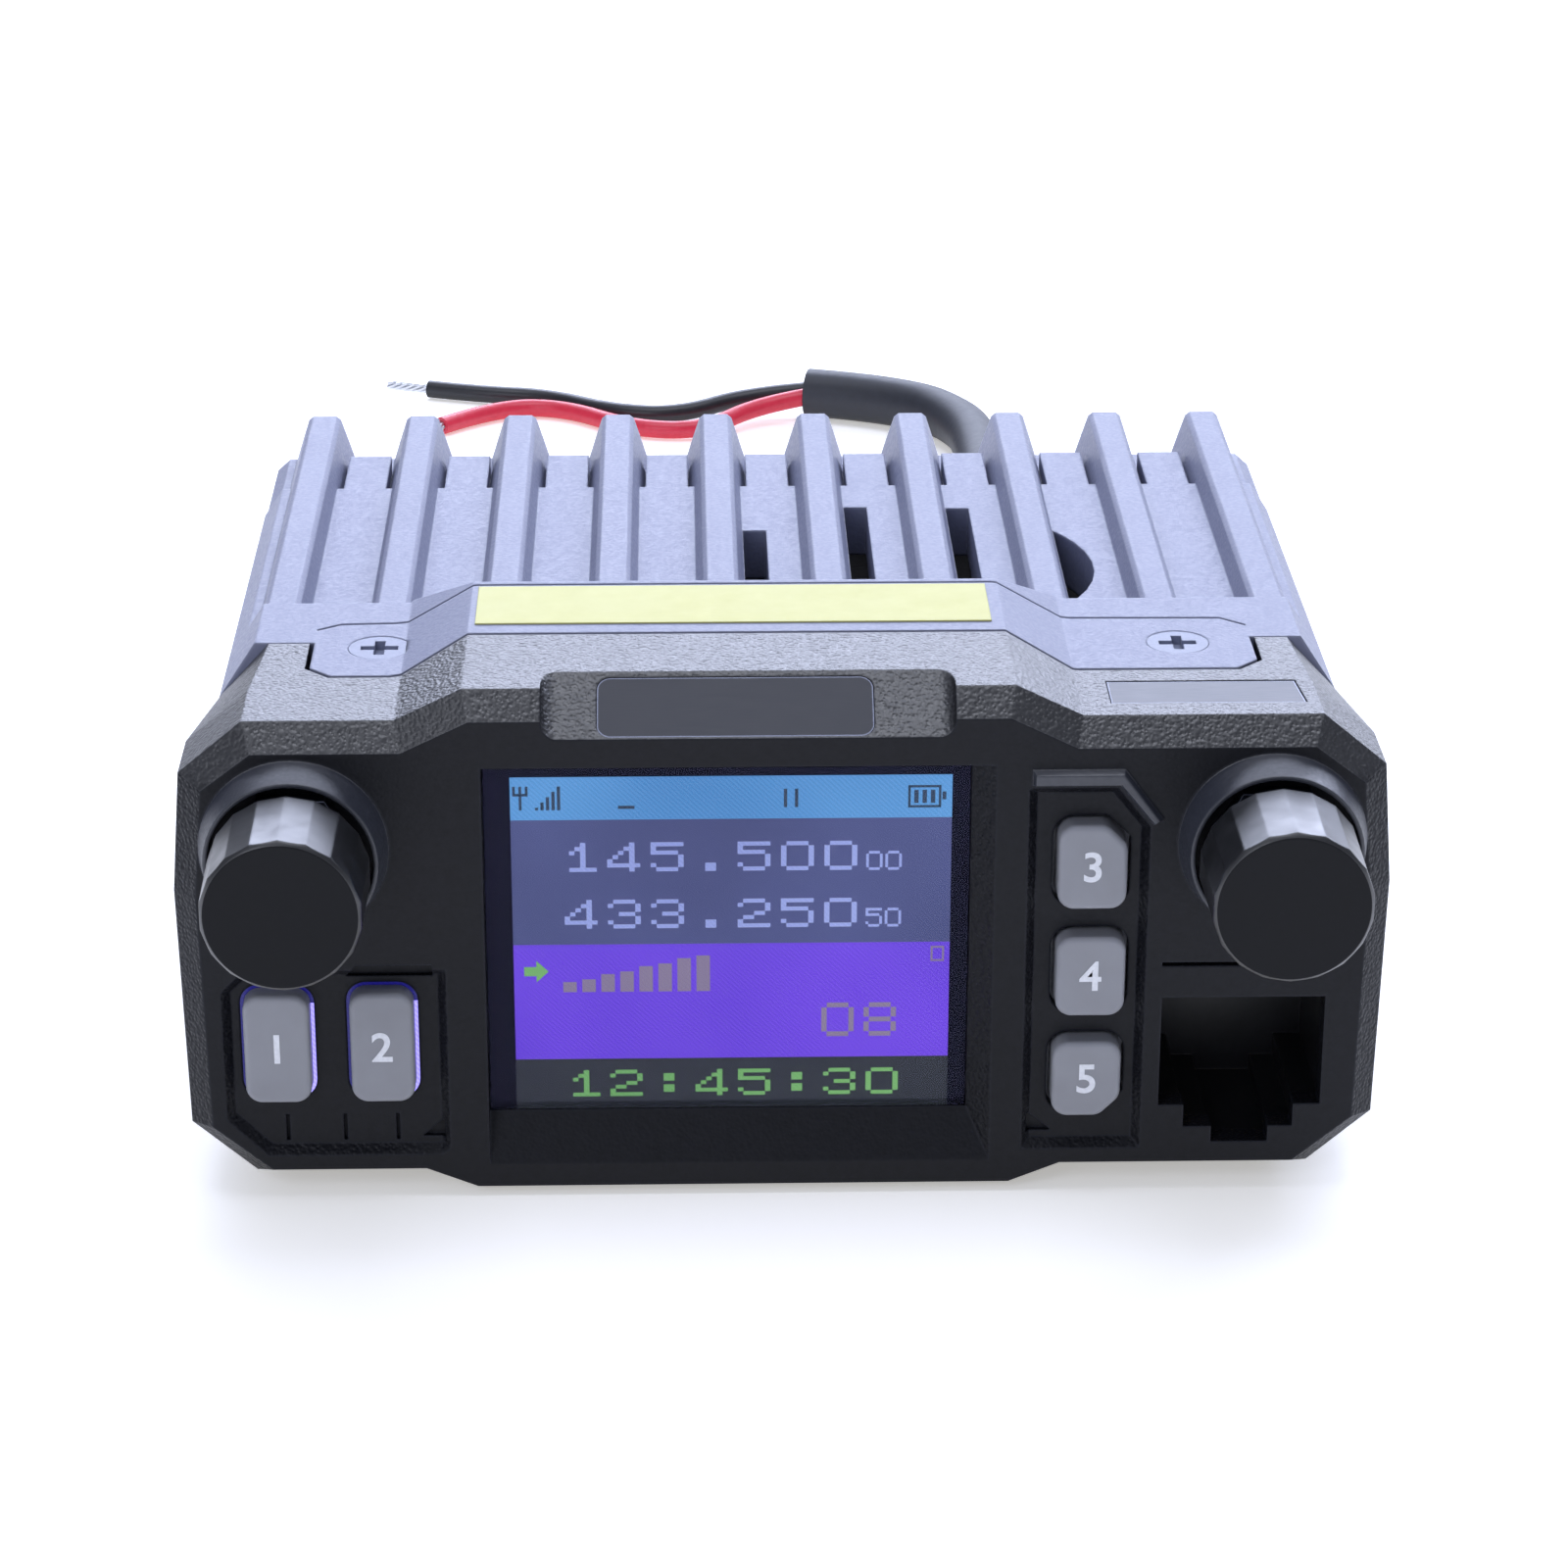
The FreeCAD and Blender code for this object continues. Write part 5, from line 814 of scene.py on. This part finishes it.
# %% Grid of dots
DOTS_WIDE, DOTS_TALL = 160, 128
glass_low, glass_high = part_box("display_module")
GRID_LEFT, GRID_TOP = glass_low.x + 3.0 * MM, glass_high.z - 1.88 * MM
DOT_X = 35.4 * MM / DOTS_WIDE
DOT_Z = 29.26 * MM / DOTS_TALL
DIGITS = {
    "0": "3c42424242423c", "1": "0818280808083e", "2": "3c42020c30407e", "3": "3c42021c02423c",
    "4": "040c1424447e04", "5": "7e407c0202423c", "6": "1c20407c42423c", "7": "7e020408101010",
    "8": "3c42423c42423c", "9": "3c42423e020438", ".": "00000000001818", ":": "00181800181800",
}


def dots(column, row, wide, tall):
    """A rectangle in dots, counted from the display's top left."""
    return tile(GRID_LEFT + column * DOT_X, GRID_TOP - row * DOT_Z, wide * DOT_X, tall * DOT_Z)


def figures(text, column, row, dot_wide, dot_tall, pitch):
    """The runs of lit dots that spell a row of digits."""
    runs = []
    for place, sign in enumerate(text):
        pattern = bytes.fromhex(DIGITS[sign])
        for line, byte in enumerate(pattern):
            lit = [step for step in range(8) if byte >> (7 - step) & 1]
            for step in lit:
                if step - 1 not in lit:
                    end = step
                    while end + 1 in lit:
                        end += 1
                    runs.append(dots(column + place * pitch + step * dot_wide, row + line * dot_tall,
                                     (end - step + 1) * dot_wide, dot_tall))
    return runs


print("dot pitch in mm:", round(DOT_X / MM, 3))

# %% [markdown]
# Black ink on the glass frames the picture. Each field gets its own light. The backlight is a little uneven
# and the dot grid shows as a faint screen, so the emission is a mix of two near colours driven by soft
# noise and fine waves.

# %% Ink of the margin and light of the display
margin_ink, tree, shader, coords = start_material("black ink round the picture")
rolled = add_node(tree, "ShaderNodeTexNoise", {"Vector": coords, "Scale": 1 / (0.5 * MM), "Detail": 3.0})
coat = add_node(tree, "ShaderNodeMix", {0: rolled.outputs[0], 6: linear("15171c"), 7: linear("1c1f26")},
                data_type="RGBA")
tree.links.new(coat.outputs[2], shader.inputs["Base Color"])
shader.inputs["Specular IOR Level"].default_value = 0.06
shader.inputs["Roughness"].default_value = 0.5


def lit_field(name, low, high, strength=1.0):
    """A glowing colour that drifts between two tones, under a faint screen of dots."""
    material, tree, shader, coords = start_material(name)
    drift = add_node(tree, "ShaderNodeTexNoise", {"Vector": coords, "Scale": 1 / (16 * MM), "Detail": 1.0})
    screen = add_node(tree, "ShaderNodeTexWave", {
        "Vector": coords, "Scale": 1 / (DOT_X * 6.283) * 2, "Distortion": 0.0,
    }, bands_direction="DIAGONAL")
    mixed = add_node(tree, "ShaderNodeMath", {0: screen.outputs[1], 1: 0.25, 2: drift.outputs[0]},
                     operation="MULTIPLY_ADD")
    share = add_node(tree, "ShaderNodeMapRange", {
        "Value": mixed.outputs[0], "From Min": 0.3, "From Max": 0.95,
    })
    tone = add_node(tree, "ShaderNodeMix", {
        0: share.outputs[0], 6: linear(low), 7: linear(high),
    }, data_type="RGBA")
    tree.links.new(tone.outputs[2], shader.inputs["Emission Color"])
    shader.inputs["Base Color"].default_value = linear("08090c")
    shader.inputs["Emission Strength"].default_value = strength
    shader.inputs["Roughness"].default_value = 0.3
    return material


FIELDS = {
    "status_band": (0, 16.3, lit_field("lit blue field", "3f82bd", "60a3dc")),
    "number_field": (16.3, 48.1, lit_field("lit slate field", "373c69", "4b5286")),
    "menu_field": (64.4, 45.1, lit_field("lit violet field", "5528c9", "7541e7")),
    "foot_band": (109.5, 18.5, lit_field("dark foot field", "101311", "1a1f1c")),
}
margin_depth, field_depth, mark_depth = [glass_low.y - layer * MM for layer in (0.006, 0.014, 0.028)]
MARGIN_INSET = 0.05 * MM
margin = tile(glass_low.x + MARGIN_INSET, glass_high.z - MARGIN_INSET,
              glass_high.x - glass_low.x - 2 * MARGIN_INSET, glass_high.z - glass_low.z - 2 * MARGIN_INSET)
screen_pieces = [front_mesh("display_margin", [margin], margin_depth, margin_ink)]
for name, (row, tall, material) in FIELDS.items():
    field = [dots(0, row, DOTS_WIDE, tall)]
    screen_pieces.append(front_mesh("display_" + name, field, field_depth, material))
print("fields:", list(FIELDS))

# %% Figures and the menu
numbers_light = lit_field("pale lavender figures", "8a95cf", "a4afe6")
menu_light = lit_field("dim ochre figures", "7a6a8c", "8f7f92")
foot_light = lit_field("green figures", "5f9a4e", "7dbb66")
number_rows = (figures("145.500", 17, 25, 2, 1.6, 15.8) + figures("00", 128, 29, 1, 1.05, 7)
               + figures("433.250", 17, 47, 2, 1.6, 15.8) + figures("50", 128, 51, 1, 1.05, 7))
BAR_HEIGHTS = (4, 5, 7, 8, 10, 11, 13, 14)
menu_rows = [dots(18 + 7 * step, 83 - height, 5, height) for step, height in enumerate(BAR_HEIGHTS)]
menu_rows += figures("08", 111, 88, 2, 1.9, 15.6)
menu_rows += [dots(153, 66, 5, 0.8), dots(153, 71.2, 5, 0.8), dots(153, 66, 0.8, 6), dots(157.2, 66, 0.8, 6)]
arrow = [(GRID_LEFT + x * DOT_X, GRID_TOP - z * DOT_Z) for x, z in
         ((3.8, 76.6), (8.3, 76.6), (8.3, 79), (12.8, 74.8), (8.3, 70.6), (8.3, 73), (3.8, 73))]
print("runs of dots:", len(number_rows) + len(menu_rows))

# %% Status marks
mark_light = lit_field("dark status marks", "14283c", "1f3850")
status_rows = [dots(3.2, 3.5, 1, 9), dots(0.9, 3.5, 1, 3), dots(5.5, 3.5, 1, 3), dots(0.9, 6.2, 5.6, 1)]
status_rows += [dots(9 + 2 * step, 12.5 - 2 * step - 1, 1.2, 2 * step + 1) for step in range(5)]
status_rows += [dots(39, 11, 6, 1.2), dots(99, 5, 1.2, 7), dots(103, 5, 1.2, 7)]
status_rows += [dots(144, 4, 12, 0.9), dots(144, 11.6, 12, 0.9), dots(144, 4, 0.9, 8), dots(155.1, 4, 0.9, 8),
                dots(156.4, 6.5, 1.4, 3)] + [dots(146.2 + 3 * step, 5.8, 1.6, 5) for step in range(3)]
screen_pieces += [
    front_mesh("display_numbers", number_rows, mark_depth, numbers_light),
    front_mesh("display_menu", menu_rows, mark_depth, menu_light),
    front_mesh("display_arrow", [arrow], mark_depth, foot_light),
    front_mesh("display_clock", figures("12:45:30", 17, 114, 2, 1.5, 15.8), mark_depth, foot_light),
    front_mesh("display_status", status_rows, mark_depth, mark_light),
]
for piece in screen_pieces:
    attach(piece, "case")
print("display pieces:", len(screen_pieces))

# %% [markdown]
# ## Numbers on the keys
# Each key carries a plain number, screen-printed in white ink a few hundredths of a millimetre thick.
# Blender's own font is turned into a mesh, thickened by that much and set on the key's front face, and it
# moves with its key.

# %% White ink numbers
white_ink, tree, shader, coords = start_material("white screen-printed ink")
fibre = add_node(tree, "ShaderNodeTexNoise", {"Vector": coords, "Scale": 1 / (0.3 * MM), "Detail": 3.0})
cover = add_node(tree, "ShaderNodeMix", {0: fibre.outputs[0], 6: linear("c9ccd4"), 7: linear("eceef4")},
                 data_type="RGBA")
tree.links.new(cover.outputs[2], shader.inputs["Base Color"])
shader.inputs["Roughness"].default_value = 0.55
INK_THICK = 0.03 * MM
NUMBER_TALL = 3.6 * MM
STROKE_SPREAD = 0.06 * MM
for number, key in enumerate(KEYS, start=1):
    low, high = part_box(key)
    words = bpy.data.curves.new(f"number_{number}", "FONT")
    words.body = str(number)
    words.size = NUMBER_TALL
    words.align_x, words.align_y = "CENTER", "CENTER"
    words.offset = STROKE_SPREAD
    words.extrude = INK_THICK / 2
    source = bpy.data.objects.new(f"number_{number}_text", words)
    scene.collection.objects.link(source)
    bpy.context.view_layer.update()
    mesh = bpy.data.meshes.new_from_object(source.evaluated_get(bpy.context.evaluated_depsgraph_get()))
    bpy.data.objects.remove(source)
    middle = Vector(((low.x + high.x) / 2, low.y - INK_THICK / 2, (low.z + high.z) / 2))
    mesh.transform(Matrix.Translation(middle) @ Matrix.Rotation(math.radians(90), 4, "X"))
    mesh.materials.clear()
    mesh.materials.append(white_ink)
    ink = bpy.data.objects.new(f"key_number_{number}", mesh)
    scene.collection.objects.link(ink)
    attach(ink, key)
print("numbers printed on", KEYS)

# %% [markdown]
# ## Glow round the two lower keys
# The lamps' light reaches the front through the gap round the rubber. A dim ring fills the gap and a bright
# strip runs down each key's right side, where its lamp is nearest. Both lie a little behind the panel's
# face, as the real light does, and both stay with the case when the key is pressed.

# %% Light in the gaps
def gap_band(left, right, bottom, top, corner, near, far):
    """Quads that fill the band between two outlines, near and far outside a rounded rectangle."""
    centres = [(right - corner, bottom + corner, -90), (right - corner, top - corner, 0),
               (left + corner, top - corner, 90), (left + corner, bottom + corner, 180)]
    inner, outer = [], []
    for x, z, start in centres:
        for step in range(7):
            angle = math.radians(start + 15 * step)
            inner.append((x + (corner + near) * math.cos(angle), z + (corner + near) * math.sin(angle)))
            outer.append((x + (corner + far) * math.cos(angle), z + (corner + far) * math.sin(angle)))
    count = len(inner)
    return [[inner[k], outer[k], outer[(k + 1) % count], inner[(k + 1) % count]] for k in range(count)]


gap_light = lit_field("blue light in the gap", "0c0a52", "1a1678", 1.2)
edge_light = lit_field("blue-violet edge light", "7a70f0", "b4acff", 1.6)
FLANGE_MM, GAP_MM, CORNER_MM = 0.75, 0.35, 1.35
GLOW_BEHIND_KEY_MM, LINE_CLEAR_MM = 1.85, 0.03
RIGHT_SIDE = slice(3, 7)
for key in ("key_1", "key_2"):
    low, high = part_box(key)
    left, right = low.x + FLANGE_MM * MM, high.x - FLANGE_MM * MM
    bottom, top = low.z + FLANGE_MM * MM, high.z - FLANGE_MM * MM
    band = gap_band(left, right, bottom, top, CORNER_MM * MM,
                    LINE_CLEAR_MM * MM, (GAP_MM - LINE_CLEAR_MM) * MM)
    edge = band[RIGHT_SIDE]
    depth = low.y + GLOW_BEHIND_KEY_MM * MM
    for name, shapes, light, y in ((key + "_gap_glow", band, gap_light, depth),
                                   (key + "_edge_glow", edge, edge_light, depth - 0.1 * MM)):
        strip = front_mesh(name, shapes, y, light)
        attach(strip, "case")
    print(key, "glow at depth", round(depth / MM, 2))

# %% Which pieces still wear their plain CAD colour
FEWEST_NODES = 4
plain = [name for name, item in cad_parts.items() if not item.hide_render
         and any(len(slot.material.node_tree.nodes) < FEWEST_NODES for slot in item.material_slots)]
print("pieces without a finish:", plain)

bpy.context.view_layer.update()
